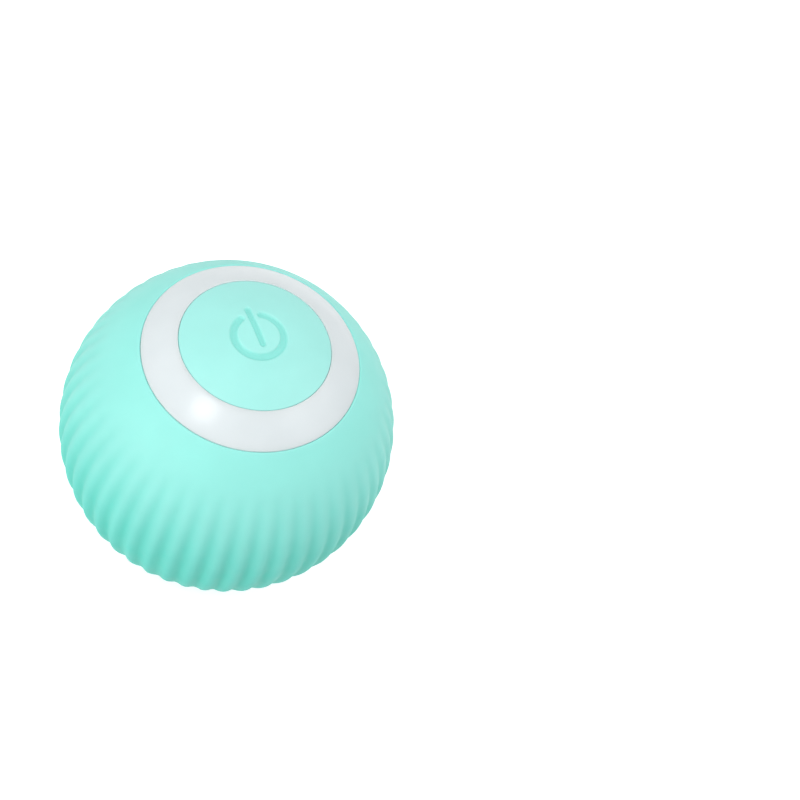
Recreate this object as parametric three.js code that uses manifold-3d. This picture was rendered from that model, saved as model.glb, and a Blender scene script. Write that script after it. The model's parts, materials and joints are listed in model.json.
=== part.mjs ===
// Self rolling cat ball: a soft ribbed sleeve over a hard two part shell that holds a circuit board with
// a push switch and lamps, a battery, and a geared motor that swings an eccentric weight.
// Millimetres, +Z up. The origin is the centre of the small flat that the ball rests on.

import * as THREE from 'three';
import { mergeVertices } from 'three/addons/utils/BufferGeometryUtils.js';
import Module from 'manifold-3d';

const wasm = await Module();
wasm.setup();

// Shared clearances
const seatGap = 0.05; // between faces that rest on each other
const runGap = 0.06; // round a shaft that turns in a bore
const cutOverrun = 1.0; // how far a cutting shape passes the face it cuts
const weldReach = 0.00001; // corners nearer than this are one corner

// Ball and soft sleeve
const ballRadius = 21.5;
const sleeveWall = 2.0;
const sleeveFit = 0.3; // between sleeve and hard shell
const ribDepth = 0.45;
const ribCount = 50;
const ribTopAngle = 48; // degrees from the top, where the ribs begin
const ribFullAngle = 100;
const ribFadeAngle = 134;
const ribEndAngle = 160;
const ribEaseShare = 0.6; // how much of their rise the ribs gain early
const ribPlaceShares = [0, 0.3, 0.5, 0.7]; // places across a rib's pitch, crest first
const ribHeightShares = [1, 0.64, 0, 0.64]; // height there, 0 in the valley
const lipRound = 0.3;
const lipRise = 0.2; // the sleeve stands this proud round its opening
const lipBandAngle = 8; // degrees over which that rise dies away
const restRadius = 2.6; // flat at the bottom

// Button
const buttonRadius = 9.1;
const buttonGap = 0.12; // between button and ring
const buttonWall = 1.2;
const buttonSkirtWall = 1.0;
const buttonCatchReach = 0.7;
const buttonCatchHeight = 0.9;
const buttonPostRadius = 1.5;
const buttonTravel = 0.3;
const edgeRound = 0.15; // rounded upper edges of button and ring

// Power symbol
const symbolRadius = 3.0;
const symbolStroke = 1.0;
const symbolBarWidth = 0.65;
const symbolBarTop = 4.2;
const symbolBarBottom = -1.65;
const symbolDepth = 0.35;
const symbolOpenFrom = 69; // degrees from +X where the arc opens
const symbolOpenTo = 111;

// Light ring
const ringWidth = 4.0;
const ringRoof = 1.3;
const ringGuideWall = 0.85;
const ringGuideDepth = 4.8;
const ringSkirtWall = 1.1;
const ringFlangeReach = 1.2;
const ringFlangeHeight = 0.7;
const ringGap = 0.1; // between ring and sleeve

// Hard shell
const shellWall = 1.5;
const lapHeight = 1.6;
const lapGap = 0.2;
const bossRadius = 2.0;
const bossAngle = 42; // degrees from the X axis
const bossInset = 2.9; // boss axis inside the shell's inner wall at its middle
const bossHeight = 6.0;
const ribWall = 1.2;

// Screws
const screwShank = 0.8;
const screwHead = 1.6;
const screwHeadHeight = 0.8;
const screwBite = 4.2;
const screwRecess = 0.35;
const smallShank = 0.5;
const smallHead = 1.0;
const smallHeadHeight = 0.6;
const headSideShare = 0.4; // straight side of a head, of its height
const headTopShare = 0.6; // flat top of a head, of its radius
const recessReachShare = 0.5; // cross recess, of the head's radius
const recessWidthShare = 0.12;

// Circuit board and what stands on it
const boardInset = 0.42; // board edge inside the ring's outer edge
const boardGap = 0.4;
const boardThickness = 1.2;
const boardDrop = 0.9; // board top below the shell's rim
const boardScrewInset = 1.9; // board screws inside the board's edge
const boardBossRadius = 1.7;
const boardBossHeight = 4.6;
const switchWidth = 6.0;
const switchHeight = 3.4;
const plungerRadius = 1.7;
const plungerRise = 0.8;
const plungerSink = 1.2; // length held inside the switch
const lampLength = 2.8;
const lampWidth = 1.7;
const lampHeight = 1.1;
const lampBodyShare = 0.6; // height of a lamp's body, of the whole lamp
const lampLensShare = 0.8; // width and length of its lens, of the body's
const lampAngles = [45, 135, 225, 315]; // degrees from +X
const controlChip = 4.0;
const chargeChip = 2.8;
const chipHeight = 1.0;
const chipGap = 0.7; // between the switch and the pieces round it
const sensorRadius = 1.4;
const sensorLength = 4.4;
const capacitorRadius = 1.2;
const capacitorHeight = 2.0;

// Charging socket
const socketWidth = 8.9;
const socketHeight = 3.2;
const socketDepth = 6.2;
const socketWall = 0.3;
const socketMouthX = 15.6;
const slotGap = 0.35;
const tongueWidth = 6.7;
const tongueHeight = 0.7;
const tongueDepth = 4.4;

// Battery
const batteryLength = 13.5;
const batteryWidth = 14.0;
const batteryHeight = 5.0;
const batteryRound = 0.8;
const padThickness = 0.8;
const padMargin = 1.5;
const batteryClearance = 1.2; // between battery and gearbox
const batteryWeightGap = 1.0; // between battery and the weight's path

// Gears
const gearModule = 0.25;
const pinionTeeth = 9;
const wheelTeeth = 36;
const pressureAngle = 25; // degrees
const addendumShare = 0.8; // of the module
const dedendumShare = 1.05; // of the module
const toothBacklash = 0.06;
const stageOneFace = 1.6;
const stageTwoFace = 1.8;
const stageGap = 0.4;
const gearSideGap = 0.3;
const gearRimGap = 0.4;

// Gearbox
const gearboxWall = 0.9;
const gearboxPlate = 1.0;
const coverPlate = 1.2;
const gearboxFrontX = 2.4;
const earReach = 10.2; // gearbox screw axis from the ball's middle plane
const earRadius = 1.9;
const earThickness = 1.2;
const coverBossRadius = 1.4;
const pinRadius = 0.5;
const bushRadius = 1.9;
const bushRise = 0.5;

// Motor
const motorRadius = 5.0;
const motorLength = 9.6;
const motorEdge = 0.5;
const motorNose = 1.6; // radius of the round boss on the motor's face
const motorShaftRadius = 0.5;
const motorShaftSink = 5.0;
const endCapRadius = 4.6;
const endCapLength = 0.8;
const terminalPlace = 2.2;
const terminalWidth = 1.2;
const terminalThickness = 0.3;
const terminalLength = 1.0;
const cradleWall = 1.4;
const cradleWidth = 8.0;
const cradleGap = 0.15;

// Output shaft and weight
const outputRadius = 1.0;
const weightThickness = 4.8;
const weightSideGap = 0.5;
const weightRadius = 11.38;
const weightHubRadius = 2.8;
const weightScrewLength = 2.4;
const weightScrewHead = 1.6;

// Leads
const leadRadius = 0.4;
const motorLeadPad = 3.6; // solder pads' distance from the middle plane
const batteryLeadPad = 1.3;
const leadPadInset = 0.7; // solder pads inside the board's edge
const leadBulge = 1.3;
const leadRun = 8.0;
const leadDrop = 3.0;

// Facets round the circles, and steps along the curves
const ballFacets = 40;
const roundFacets = 32;
const motorFacets = 20;
const middleFacets = 16;
const smallFacets = 10;
const screwFacets = 8;
const sleeveInnerSteps = 9;
const lipSteps = 3;
const bandSteps = 2;
const ribSteps = 8;
const ringTopSteps = 2;
const buttonTopSteps = 4;
const buttonUnderSteps = 3;
const upperShellSteps = 3;
const lowerShellSteps = 5;
const insideSteps = 8;
const cornerSteps = 3;
const symbolSteps = 14;
const gearboxSteps = 10;
const weightSteps = 16;
const leadSteps = 8;
const leadSides = 8;

// Sizes worked out from the ones above
const radians = Math.PI / 180;
const centreHeight = Math.sqrt(ballRadius ** 2 - restRadius ** 2);
const sleeveInner = ballRadius - sleeveWall;
const shellOuter = sleeveInner - sleeveFit;
const shellInner = shellOuter - shellWall;
const ringInner = buttonRadius + buttonGap;
const ringOuter = ringInner + ringWidth;
const openingRadius = ringOuter + ringGap;
const boardRadius = ringOuter - boardInset;
const rimRadius = boardRadius + boardGap;
const rimHeight = sphereHeight(shellInner, rimRadius);
const boardTop = rimHeight - boardDrop;
const boardScrewRadius = boardRadius - boardScrewInset;
const leadPadRadius = boardRadius - leadPadInset;
const lampRadius = ringInner + (ringGuideWall + ringWidth - ringSkirtWall) / 2;
const boardBottom = boardTop - boardThickness;
const switchTop = boardTop + seatGap + switchHeight;
const plungerTop = switchTop + plungerRise;
const guideBottom = sphereHeight(ballRadius, ringInner) - ringGuideDepth;
const catchTop = guideBottom - seatGap;
const batteryTop = boardBottom - 2 * seatGap - padThickness;
const batteryBottom = batteryTop - batteryHeight;
const pinionPitch = (gearModule * pinionTeeth) / 2;
const wheelPitch = (gearModule * wheelTeeth) / 2;
const centreDistance = pinionPitch + wheelPitch;
const wheelTip = wheelPitch + addendumShare * gearModule;
const gearboxRadius = wheelTip + gearRimGap + gearboxWall;
const axisHeight = batteryBottom - batteryClearance - gearboxRadius;
const coverBackX = gearboxFrontX - coverPlate;
const stageTwoFrontX = coverBackX - gearSideGap;
const stageTwoBackX = stageTwoFrontX - stageTwoFace;
const stageOneFrontX = stageTwoBackX - stageGap;
const stageOneBackX = stageOneFrontX - stageOneFace;
const housingFloorX = stageOneBackX - gearSideGap;
const housingBackX = housingFloorX - gearboxPlate;
const motorFrontX = housingBackX - seatGap;
const motorBackX = motorFrontX - motorLength;
const endCapBackX = motorBackX - seatGap - endCapLength;
const weightBackX = gearboxFrontX + bushRise + weightSideGap;
const weightFrontX = weightBackX + weightThickness;
const batteryFrontX = weightBackX - batteryWeightGap;
const batteryBackX = batteryFrontX - batteryLength;
const bossPlace = shellInner - bossInset;
const earTop = -centreDistance / 2 + earThickness / 2;
const earX = housingBackX + earRadius;
const coverBossReach = gearboxRadius + coverBossRadius / 2;

/** Height of a sphere's surface at a given distance from its vertical axis. */
function sphereHeight(radius, distance) {
  return Math.sqrt(radius ** 2 - distance ** 2);
}

/** Material with a plain colour. */
function finish(color, roughness, metalness = 0) {
  return new THREE.MeshStandardMaterial({ color, roughness, metalness });
}

const finishes = {
  silicone: () => finish(0x84e6d2, 0.55),
  button: () => finish(0x84e6d2, 0.5),
  diffuser: () => finish(0xeef0f2, 0.35),
  shell: () => finish(0xf2f3f3, 0.45),
  board: () => finish(0x1f6b45, 0.5),
  blackPlastic: () => finish(0x1c1d1f, 0.5),
  whitePlastic: () => finish(0xf0efe8, 0.45),
  lamp: () => finish(0xf4efd2, 0.3),
  steel: () => finish(0xb4b8bc, 0.3, 1),
  brass: () => finish(0xc9a24a, 0.35, 1),
  cell: () => finish(0xc7cbd0, 0.45, 0.4),
  foam: () => finish(0x2c2d30, 0.95),
  redWire: () => finish(0xc62f2a, 0.5),
  blackWire: () => finish(0x202124, 0.5),
};

/** Geometry with shared corners merged and collapsed triangles dropped. */
function weld(geometry) {
  const bare = geometry.clone();
  bare.deleteAttribute('normal');
  bare.deleteAttribute('uv');
  const merged = mergeVertices(bare, weldReach);
  const old = merged.index.array;
  const kept = [];
  for (let i = 0; i < old.length; i += 3) {
    const [a, b, c] = [old[i], old[i + 1], old[i + 2]];
    if (a !== b && b !== c && c !== a) kept.push(a, b, c);
  }
  merged.setIndex(kept);
  return merged;
}

function toSolid(geometry) {
  const { index, attributes } = weld(geometry);
  return new wasm.Manifold(new wasm.Mesh({
    numProp: 3,
    vertProperties: new Float32Array(attributes.position.array),
    triVerts: new Uint32Array(index.array),
  }));
}

function toGeometry(solid) {
  const mesh = solid.getMesh();
  const geometry = new THREE.BufferGeometry();
  geometry.setAttribute('position', new THREE.BufferAttribute(new Float32Array(mesh.vertProperties), 3));
  geometry.setIndex(new THREE.BufferAttribute(new Uint32Array(mesh.triVerts), 1));
  return geometry;
}

/** First geometry joined with the others. */
function join(first, ...others) {
  return toGeometry(others.reduce((solid, other) => solid.add(toSolid(other)), toSolid(first)));
}

/** First geometry with the others cut out of it. */
function cut(first, ...others) {
  return toGeometry(others.reduce((solid, other) => solid.subtract(toSolid(other)), toSolid(first)));
}

/** What two geometries share. */
function common(first, second) {
  return toGeometry(toSolid(first).intersect(toSolid(second)));
}

/** Solid of revolution about Z from [distance, height] points that run anticlockwise. */
function revolve(points, facets = roundFacets) {
  const profile = points.map(([distance, height]) => new THREE.Vector2(distance, height));
  return new THREE.LatheGeometry(profile, facets).rotateX(Math.PI / 2);
}

/** Points of a profile on a sphere, between two distances from the axis. */
function sphereArc(radius, from, to, steps) {
  const start = Math.asin(from / radius);
  const end = Math.asin(to / radius);
  return Array.from({ length: steps + 1 }, (_, i) => {
    const angle = start + ((end - start) * i) / steps;
    return [radius * Math.sin(angle), radius * Math.cos(angle)];
  });
}

function cylinder(radius, bottom, top, facets = smallFacets) {
  const height = top - bottom;
  return new THREE.CylinderGeometry(radius, radius, height, facets)
    .rotateX(Math.PI / 2)
    .translate(0, 0, bottom + height / 2);
}

/** Box from its low and high corners. */
function block([x0, y0, z0], [x1, y1, z1]) {
  return new THREE.BoxGeometry(x1 - x0, y1 - y0, z1 - z0)
    .translate((x0 + x1) / 2, (y0 + y1) / 2, (z0 + z1) / 2);
}

function extrude(shape, depth, curveSegments = smallFacets) {
  return new THREE.ExtrudeGeometry(shape, { depth, bevelEnabled: false, curveSegments });
}

/** Turns a geometry so that its Z runs along X, its X along Y and its Y along Z. */
function layAlongX(geometry) {
  const axes = [new THREE.Vector3(0, 1, 0), new THREE.Vector3(0, 0, 1), new THREE.Vector3(1, 0, 0)];
  return geometry.applyMatrix4(new THREE.Matrix4().makeBasis(...axes));
}

/** Round bar along X, centred on the X axis. */
function barAlongX(radius, from, to, facets = smallFacets) {
  return layAlongX(cylinder(radius, from, to, facets));
}

function circlePath(radius, x = 0, y = 0, facets = smallFacets) {
  const path = new THREE.Path();
  const points = Array.from({ length: facets }, (_, i) => {
    const angle = (-2 * Math.PI * i) / facets;
    return new THREE.Vector2(x + radius * Math.cos(angle), y + radius * Math.sin(angle));
  });
  return path.setFromPoints(points);
}

function piece(name, geometry, material, place = [0, 0, 0]) {
  const mesh = new THREE.Mesh(geometry, material);
  mesh.name = name;
  mesh.position.set(...place);
  return mesh;
}

/** How deep the valleys are at an angle from the top, from 0 to 1. */
function ribFade(angle) {
  const rise = THREE.MathUtils.clamp((angle - ribTopAngle) / (ribFullAngle - ribTopAngle), 0, 1);
  const fall = THREE.MathUtils.smoothstep(ribEndAngle - angle, 0, ribEndAngle - ribFadeAngle);
  return rise * (1 + ribEaseShare * (1 - rise)) * fall;
}

function sleeveRadius(angle, openingAngle) {
  const near = THREE.MathUtils.clamp(1 - (angle - openingAngle) / lipBandAngle, 0, 1);
  return ballRadius + lipRise * near * near;
}

/** Ring of plain points round the Z axis. */
function plainRing(distance, height) {
  return Array.from({ length: ballFacets }, (_, i) => {
    const turn = (2 * Math.PI * i) / ballFacets;
    return new THREE.Vector3(distance * Math.cos(turn), distance * Math.sin(turn), height);
  });
}

/** Ring that follows the ribs at an angle from the top. */
function ribbedRing(angle) {
  const points = [];
  for (let rib = 0; rib < ribCount; rib += 1) {
    ribPlaceShares.forEach((share, i) => {
      const turn = (2 * Math.PI * (rib + share)) / ribCount;
      const radius = ballRadius - ribDepth * ribFade(angle) * (1 - ribHeightShares[i]);
      points.push(new THREE.Vector3().setFromSphericalCoords(radius, angle * radians, turn));
    });
  }
  // The angles are measured from +Y, so the ring is turned to stand round +Z.
  return points.map((p) => new THREE.Vector3(p.z, p.x, p.y));
}

/** Triangles between two rings, the first with as many points as the second or a whole multiple. */
function strip(fine, coarse, flipped) {
  const faces = [];
  const each = fine.length / coarse.length;
  for (let i = 0; i < coarse.length; i += 1) {
    const next = coarse[(i + 1) % coarse.length];
    const half = Math.ceil(each / 2);
    for (let k = 0; k < each; k += 1) {
      const a = fine[i * each + k];
      const b = fine[(i * each + k + 1) % fine.length];
      faces.push([a, b, k < half ? coarse[i] : next]);
    }
    faces.push([coarse[i], fine[(i * each + half) % fine.length], next]);
  }
  return flipped ? faces.map(([a, b, c]) => [c, b, a]) : faces;
}

/** Closed skin through a row of rings that starts and ends at a single point on the axis. */
function skin(first, rings, last) {
  const faces = [];
  const start = rings[0];
  const end = rings.at(-1);
  start.forEach((p, i) => faces.push([first, p, start[(i + 1) % start.length]]));
  for (let i = 1; i < rings.length; i += 1) {
    const [low, high] = [rings[i - 1], rings[i]];
    faces.push(...(low.length >= high.length ? strip(low, high, true) : strip(high, low, false)));
  }
  end.forEach((p, i) => faces.push([last, end[(i + 1) % end.length], p]));
  const geometry = new THREE.BufferGeometry();
  geometry.setFromPoints(faces.flat());
  return geometry;
}

/** Soft outer cover: smooth round its opening, ribbed below, with a small flat to rest on. */
function sleeve() {
  const lipRadius = ballRadius + lipRise;
  const lipCentre = openingRadius + lipRound;
  const lipHeight = sphereHeight(lipRadius - lipRound, lipCentre);
  const openingAngle = Math.atan2(lipCentre, lipHeight) / radians;
  const innerOpening = Math.asin(openingRadius / sleeveInner) / radians;
  const rings = [];
  const onSphere = (radius, angle) =>
    plainRing(radius * Math.sin(angle * radians), radius * Math.cos(angle * radians));
  for (let i = 1; i <= sleeveInnerSteps; i += 1) {
    rings.push(onSphere(sleeveInner, 180 - ((180 - innerOpening) * i) / sleeveInnerSteps));
  }
  for (let i = 0; i <= lipSteps; i += 1) {
    const turn = (180 - ((90 + openingAngle) * i) / lipSteps) * radians;
    rings.push(plainRing(lipCentre + lipRound * Math.cos(turn), lipHeight + lipRound * Math.sin(turn)));
  }
  for (let i = 1; i <= bandSteps; i += 1) {
    const angle = openingAngle + ((ribTopAngle - openingAngle) * i) / (bandSteps + 1);
    rings.push(onSphere(sleeveRadius(angle, openingAngle), angle));
  }
  for (let i = 0; i <= ribSteps; i += 1) {
    rings.push(ribbedRing(ribTopAngle + ((ribEndAngle - ribTopAngle) * i) / ribSteps));
  }
  const restAngle = 180 - Math.asin(restRadius / ballRadius) / radians;
  rings.push(onSphere(ballRadius, (ribEndAngle + restAngle) / 2), plainRing(restRadius, -centreHeight));
  const inside = new THREE.Vector3(0, 0, -sleeveInner);
  return piece('sleeve', skin(inside, rings, new THREE.Vector3(0, 0, -centreHeight)), finishes.silicone());
}

/** Milky ring: domed roof over the lamps, guide wall for the button, flange on the shell's rim. */
function lightRing() {
  const base = rimHeight + seatGap;
  const roofRadius = ballRadius - ringRoof;
  const channelIn = ringInner + ringGuideWall;
  const channelOut = ringOuter - ringSkirtWall;
  const outerEdge = sphereHeight(ballRadius, ringOuter);
  const profile = [
    [channelOut, base],
    [ringOuter + ringFlangeReach, base],
    [ringOuter + ringFlangeReach, base + ringFlangeHeight],
    [ringOuter, base + ringFlangeHeight],
    [ringOuter, outerEdge - edgeRound],
    ...sphereArc(ballRadius, ringOuter - edgeRound, ringInner + edgeRound, ringTopSteps),
    [ringInner, sphereHeight(ballRadius, ringInner) - edgeRound],
    [ringInner, guideBottom],
    [channelIn, guideBottom],
    ...sphereArc(roofRadius, channelIn, channelOut, 1),
  ];
  return piece('light_ring', revolve([...profile, profile[0]]), finishes.diffuser());
}

/** Arc and bar of the power symbol, as a prism that stands in the button's top. */
function powerSymbol(bottom, top) {
  const inner = symbolRadius - symbolStroke / 2;
  const outer = symbolRadius + symbolStroke / 2;
  const arc = new THREE.Shape();
  const from = symbolOpenTo * radians;
  const to = (360 + symbolOpenFrom) * radians;
  arc.absarc(0, 0, outer, from, to, false);
  arc.absarc(0, 0, inner, to, from, true);
  const ring = extrude(arc, top - bottom, symbolSteps).translate(0, 0, bottom);
  const half = symbolBarWidth / 2;
  return [ring, block([-half, symbolBarBottom, bottom], [half, symbolBarTop, top])];
}

/** Domed button with a skirt that slides in the ring, a catch flange, and a post over the switch. */
function buttonCap() {
  const underside = ballRadius - buttonWall;
  const skirtInner = buttonRadius - buttonSkirtWall;
  const catchBottom = catchTop - buttonCatchHeight;
  const postBottom = plungerTop + seatGap;
  const cap = revolve([
    [0, postBottom],
    [buttonPostRadius, postBottom],
    [buttonPostRadius, sphereHeight(underside, buttonPostRadius)],
    ...sphereArc(underside, buttonPostRadius, skirtInner, buttonUnderSteps).slice(1),
    [skirtInner, catchBottom],
    [buttonRadius + buttonCatchReach, catchBottom],
    [buttonRadius + buttonCatchReach, catchTop],
    [buttonRadius, catchTop],
    [buttonRadius, sphereHeight(ballRadius, buttonRadius) - edgeRound],
    ...sphereArc(ballRadius, buttonRadius - edgeRound, 0, buttonTopSteps),
  ]);
  const symbolFloor = sphereHeight(ballRadius, symbolRadius) - symbolDepth;
  return piece('button_cap', cut(cap, ...powerSymbol(symbolFloor, ballRadius + cutOverrun)),
    finishes.button());
}

/** The four places of the screws that join the half shells. */
function bossPlaces() {
  return [bossAngle, 180 - bossAngle, 180 + bossAngle, -bossAngle].map((angle) => [
    bossPlace * Math.cos(angle * radians),
    bossPlace * Math.sin(angle * radians),
  ]);
}

/** What of a geometry lies inside the middle of the shell's wall, so that it joins the wall. */
function insideShell(geometry) {
  const reach = shellInner + shellWall / 2;
  const ballInside = [[0, -reach], ...sphereArcFull(reach, insideSteps), [0, reach]];
  return common(geometry, revolve(ballInside, roundFacets));
}

/** Half circle of profile points from the bottom of a sphere to its top, without its two ends. */
function sphereArcFull(radius, steps) {
  return Array.from({ length: steps - 1 }, (_, i) => {
    const angle = Math.PI * (1 - (i + 1) / steps);
    return [radius * Math.sin(angle), radius * Math.cos(angle)];
  });
}

/** Post under the board with a rib that carries it from the shell's wall, on the side of +Y or -Y. */
function boardBoss(side) {
  const top = boardBottom - seatGap;
  const bottom = top - boardBossHeight;
  const middle = side * boardScrewRadius;
  const post = cylinder(boardBossRadius, bottom, top).translate(0, middle, 0);
  const wallSide = side * shellOuter;
  const low = Math.min(middle, wallSide);
  const high = Math.max(middle, wallSide);
  const rib = block([-ribWall / 2, low, bottom], [ribWall / 2, high, top]);
  return join(post, insideShell(rib));
}

/** Upper half shell, cut flat at its rim, with screw bosses, board posts and the charging slot. */
function upperShell() {
  const lapRadius = shellOuter - shellWall / 2 + lapGap / 2;
  const rimOuter = sphereHeight(shellOuter, rimHeight);
  const outside = sphereArc(shellOuter, shellOuter, rimOuter, upperShellSteps);
  const lapInner = sphereHeight(shellInner, lapHeight);
  const inside = sphereArc(shellInner, rimRadius, lapInner, upperShellSteps);
  const body = revolve([
    [lapRadius, 0],
    ...outside,
    ...inside,
    [lapRadius, lapHeight],
    [lapRadius, 0],
  ]);
  const bosses = bossPlaces().map(([x, y]) => {
    const boss = cylinder(bossRadius, lapHeight, lapHeight + bossHeight).translate(x, y, 0);
    return insideShell(boss);
  });
  const pilots = bossPlaces().map(([x, y]) =>
    cylinder(screwShank + runGap, lapHeight - cutOverrun, lapHeight + screwBite, screwFacets)
      .translate(x, y, 0));
  const boardPilots = [1, -1].map((side) =>
    cylinder(screwShank + runGap, boardBottom - screwBite, boardBottom + cutOverrun, screwFacets)
      .translate(0, side * boardScrewRadius, 0));
  const slotHalf = socketWidth / 2 + slotGap;
  const slot = block(
    [socketMouthX - socketDepth / 2, -slotHalf, boardBottom - socketHeight - slotGap],
    [ballRadius, slotHalf, boardBottom + slotGap],
  );
  const whole = join(body, ...bosses, boardBoss(1), boardBoss(-1));
  return piece('upper_shell', cut(whole, ...pilots, ...boardPilots, slot), finishes.shell());
}

/** Lower half shell with its lap tongue, screw bosses, gearbox posts and motor cradle. */
function lowerShell() {
  const tongueOuter = shellOuter - shellWall / 2 - lapGap / 2;
  const tongueTop = lapHeight - lapGap;
  const turnedOver = (points) => points.map(([distance, height]) => [distance, -height]);
  const body = revolve([
    ...turnedOver(sphereArc(shellOuter, 0, shellOuter, lowerShellSteps)),
    [tongueOuter, 0],
    [tongueOuter, tongueTop],
    [shellInner, tongueTop],
    ...turnedOver(sphereArc(shellInner, shellInner, 0, lowerShellSteps)),
  ]);
  const bossTop = lapHeight - lapGap;
  const whole = join(
    body,
    ...bossPlaces().map(([x, y]) =>
      insideShell(cylinder(bossRadius, -bossHeight, bossTop).translate(x, y, 0))),
    ...[1, -1].map(gearboxPost),
    motorCradle(),
  );
  const seat = screwSeat();
  const holes = bossPlaces().flatMap(([x, y]) => [
    cylinder(screwHead + slotGap, -shellOuter, seat).translate(x, y, 0),
    cylinder(screwShank + runGap, seat - cutOverrun, bossTop + cutOverrun, screwFacets).translate(x, y, 0),
  ]);
  const postTop = axisHeight + earTop - earThickness - seatGap;
  const pilots = [1, -1].map((side) =>
    cylinder(screwShank + runGap, postTop - screwBite, postTop + cutOverrun, screwFacets)
      .translate(earX, side * earReach, 0));
  return piece('lower_shell', cut(whole, ...holes, ...pilots), finishes.shell());
}

/** Height of the step that the heads of the shell's screws rest on. */
function screwSeat() {
  return lapHeight - lapGap - bossHeight / 2;
}

/** Post of the lower shell under one ear of the gearbox. */
function gearboxPost(side) {
  const top = axisHeight + earTop - earThickness - seatGap;
  return insideShell(cylinder(earRadius, -shellOuter, top).translate(earX, side * earReach, 0));
}

/** Wall of the lower shell with a round notch that the motor lies in. */
function motorCradle() {
  const middleX = motorBackX + motorLength / 3;
  const wall = block(
    [middleX - cradleWall / 2, -cradleWidth / 2, -shellOuter],
    [middleX + cradleWall / 2, cradleWidth / 2, axisHeight],
  );
  const notch = barAlongX(motorRadius + cradleGap, -shellOuter, 0, roundFacets).translate(0, 0, axisHeight);
  return cut(insideShell(wall), notch);
}

/** Screw with a domed head at and below z = 0 upwards, its shank running down, and a cross recess. */
function screw(name, head, headHeight, shank, length) {
  const body = revolve([
    [0, -length],
    [shank, -length + shank],
    [shank, 0],
    [head, 0],
    [head, headHeight * headSideShare],
    [head * headTopShare, headHeight],
    [0, headHeight],
  ], screwFacets);
  const arm = head * recessReachShare;
  const half = head * recessWidthShare;
  const floor = headHeight - screwRecess;
  const top = headHeight + cutOverrun;
  const recess = join(
    block([-arm, -half, floor], [arm, half, top]),
    block([-half, -arm, floor], [half, arm, top]),
  );
  return piece(name, cut(body, recess), finishes.steel());
}

function placed(mesh, position, rotation = [0, 0, 0]) {
  mesh.position.set(...position);
  mesh.rotation.set(...rotation);
  return mesh;
}

/** Screws that come from below and join the half shells. */
function shellScrews() {
  const seat = screwSeat() - seatGap;
  const length = lapHeight + screwBite - screwSeat() - screwShank;
  return bossPlaces().map(([x, y], i) =>
    placed(screw(`shell_screw_${i + 1}`, screwHead, screwHeadHeight, screwShank, length),
      [x, y, seat], [Math.PI, 0, 0]));
}

/** Round board with its two screw holes. */
function circuitBoard() {
  const outline = new THREE.Shape(circlePath(boardRadius, 0, 0, roundFacets).getPoints().reverse());
  [1, -1].forEach((side) => outline.holes.push(
    circlePath(screwShank + slotGap, 0, side * boardScrewRadius)));
  return piece('circuit_board', extrude(outline, boardThickness).translate(0, 0, boardBottom),
    finishes.board());
}

function boardScrews() {
  return [1, -1].map((side, i) => placed(
    screw(`board_screw_${i + 1}`, screwHead, screwHeadHeight, screwShank, boardThickness + screwBite / 2),
    [0, side * boardScrewRadius, boardTop + seatGap]));
}

/** Square switch with a round well for its plunger. */
function switchBody() {
  const half = switchWidth / 2;
  const low = boardTop + seatGap;
  const body = block([-half, -half, low], [half, half, switchTop]);
  const well = cylinder(plungerRadius + runGap, switchTop - plungerSink - buttonTravel - seatGap,
    switchTop + cutOverrun, middleFacets);
  return piece('switch_body', cut(body, well), finishes.blackPlastic());
}

function switchPlunger() {
  return piece('switch_plunger', cylinder(plungerRadius, switchTop - plungerSink, plungerTop, middleFacets),
    finishes.whitePlastic());
}

/** Four lamps in a circle under the light ring. */
function lamps() {
  const low = boardTop + seatGap;
  return lampAngles.map((angle, i) => {
    const body = block(
      [-lampWidth / 2, -lampLength / 2, 0],
      [lampWidth / 2, lampLength / 2, lampHeight * lampBodyShare],
    );
    const lens = block(
      [(-lampLensShare * lampWidth) / 2, (-lampLensShare * lampLength) / 2, 0],
      [(lampLensShare * lampWidth) / 2, (lampLensShare * lampLength) / 2, lampHeight],
    );
    const turn = angle * radians;
    const place = [lampRadius * Math.cos(turn), lampRadius * Math.sin(turn), low];
    return placed(piece(`led_${i + 1}`, join(body, lens), finishes.lamp()), place, [0, 0, turn]);
  });
}

/** Chips, vibration sensor and capacitor on top of the board, round the switch. */
function boardPieces() {
  const low = boardTop + seatGap;
  const chip = (name, size, x, y) => piece(name,
    block([x - size / 2, y - size / 2, low], [x + size / 2, y + size / 2, low + chipHeight]),
    finishes.blackPlastic());
  const edge = switchWidth / 2 + chipGap;
  const sensor = barAlongX(sensorRadius, -sensorLength / 2, sensorLength / 2)
    .translate(0, -edge - sensorRadius, low + sensorRadius);
  const can = cylinder(capacitorRadius, low, low + capacitorHeight, middleFacets)
    .translate(0, edge + capacitorRadius, 0);
  return [
    chip('control_chip', controlChip, -edge - controlChip / 2, 0),
    chip('charge_chip', chargeChip, edge + chargeChip / 2, 0),
    piece('vibration_sensor', sensor, finishes.brass()),
    piece('capacitor', can, finishes.steel()),
  ];
}

/** Rounded rectangle centred on the origin, as a path. */
function roundedRectangle(width, height, radius) {
  const [w, h] = [width / 2, height / 2];
  const path = new THREE.Shape();
  path.moveTo(-w + radius, -h);
  path.lineTo(w - radius, -h);
  path.absarc(w - radius, -h + radius, radius, -Math.PI / 2, 0, false);
  path.lineTo(w, h - radius);
  path.absarc(w - radius, h - radius, radius, 0, Math.PI / 2, false);
  path.lineTo(-w + radius, h);
  path.absarc(-w + radius, h - radius, radius, Math.PI / 2, Math.PI, false);
  path.lineTo(-w, -h + radius);
  path.absarc(-w + radius, -h + radius, radius, Math.PI, 1.5 * Math.PI, false);
  return path;
}

/** Bar along X with a rounded rectangle for its section. */
function roundedBar(width, height, radius, length) {
  return layAlongX(extrude(roundedRectangle(width, height, radius), length, cornerSteps));
}

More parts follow.
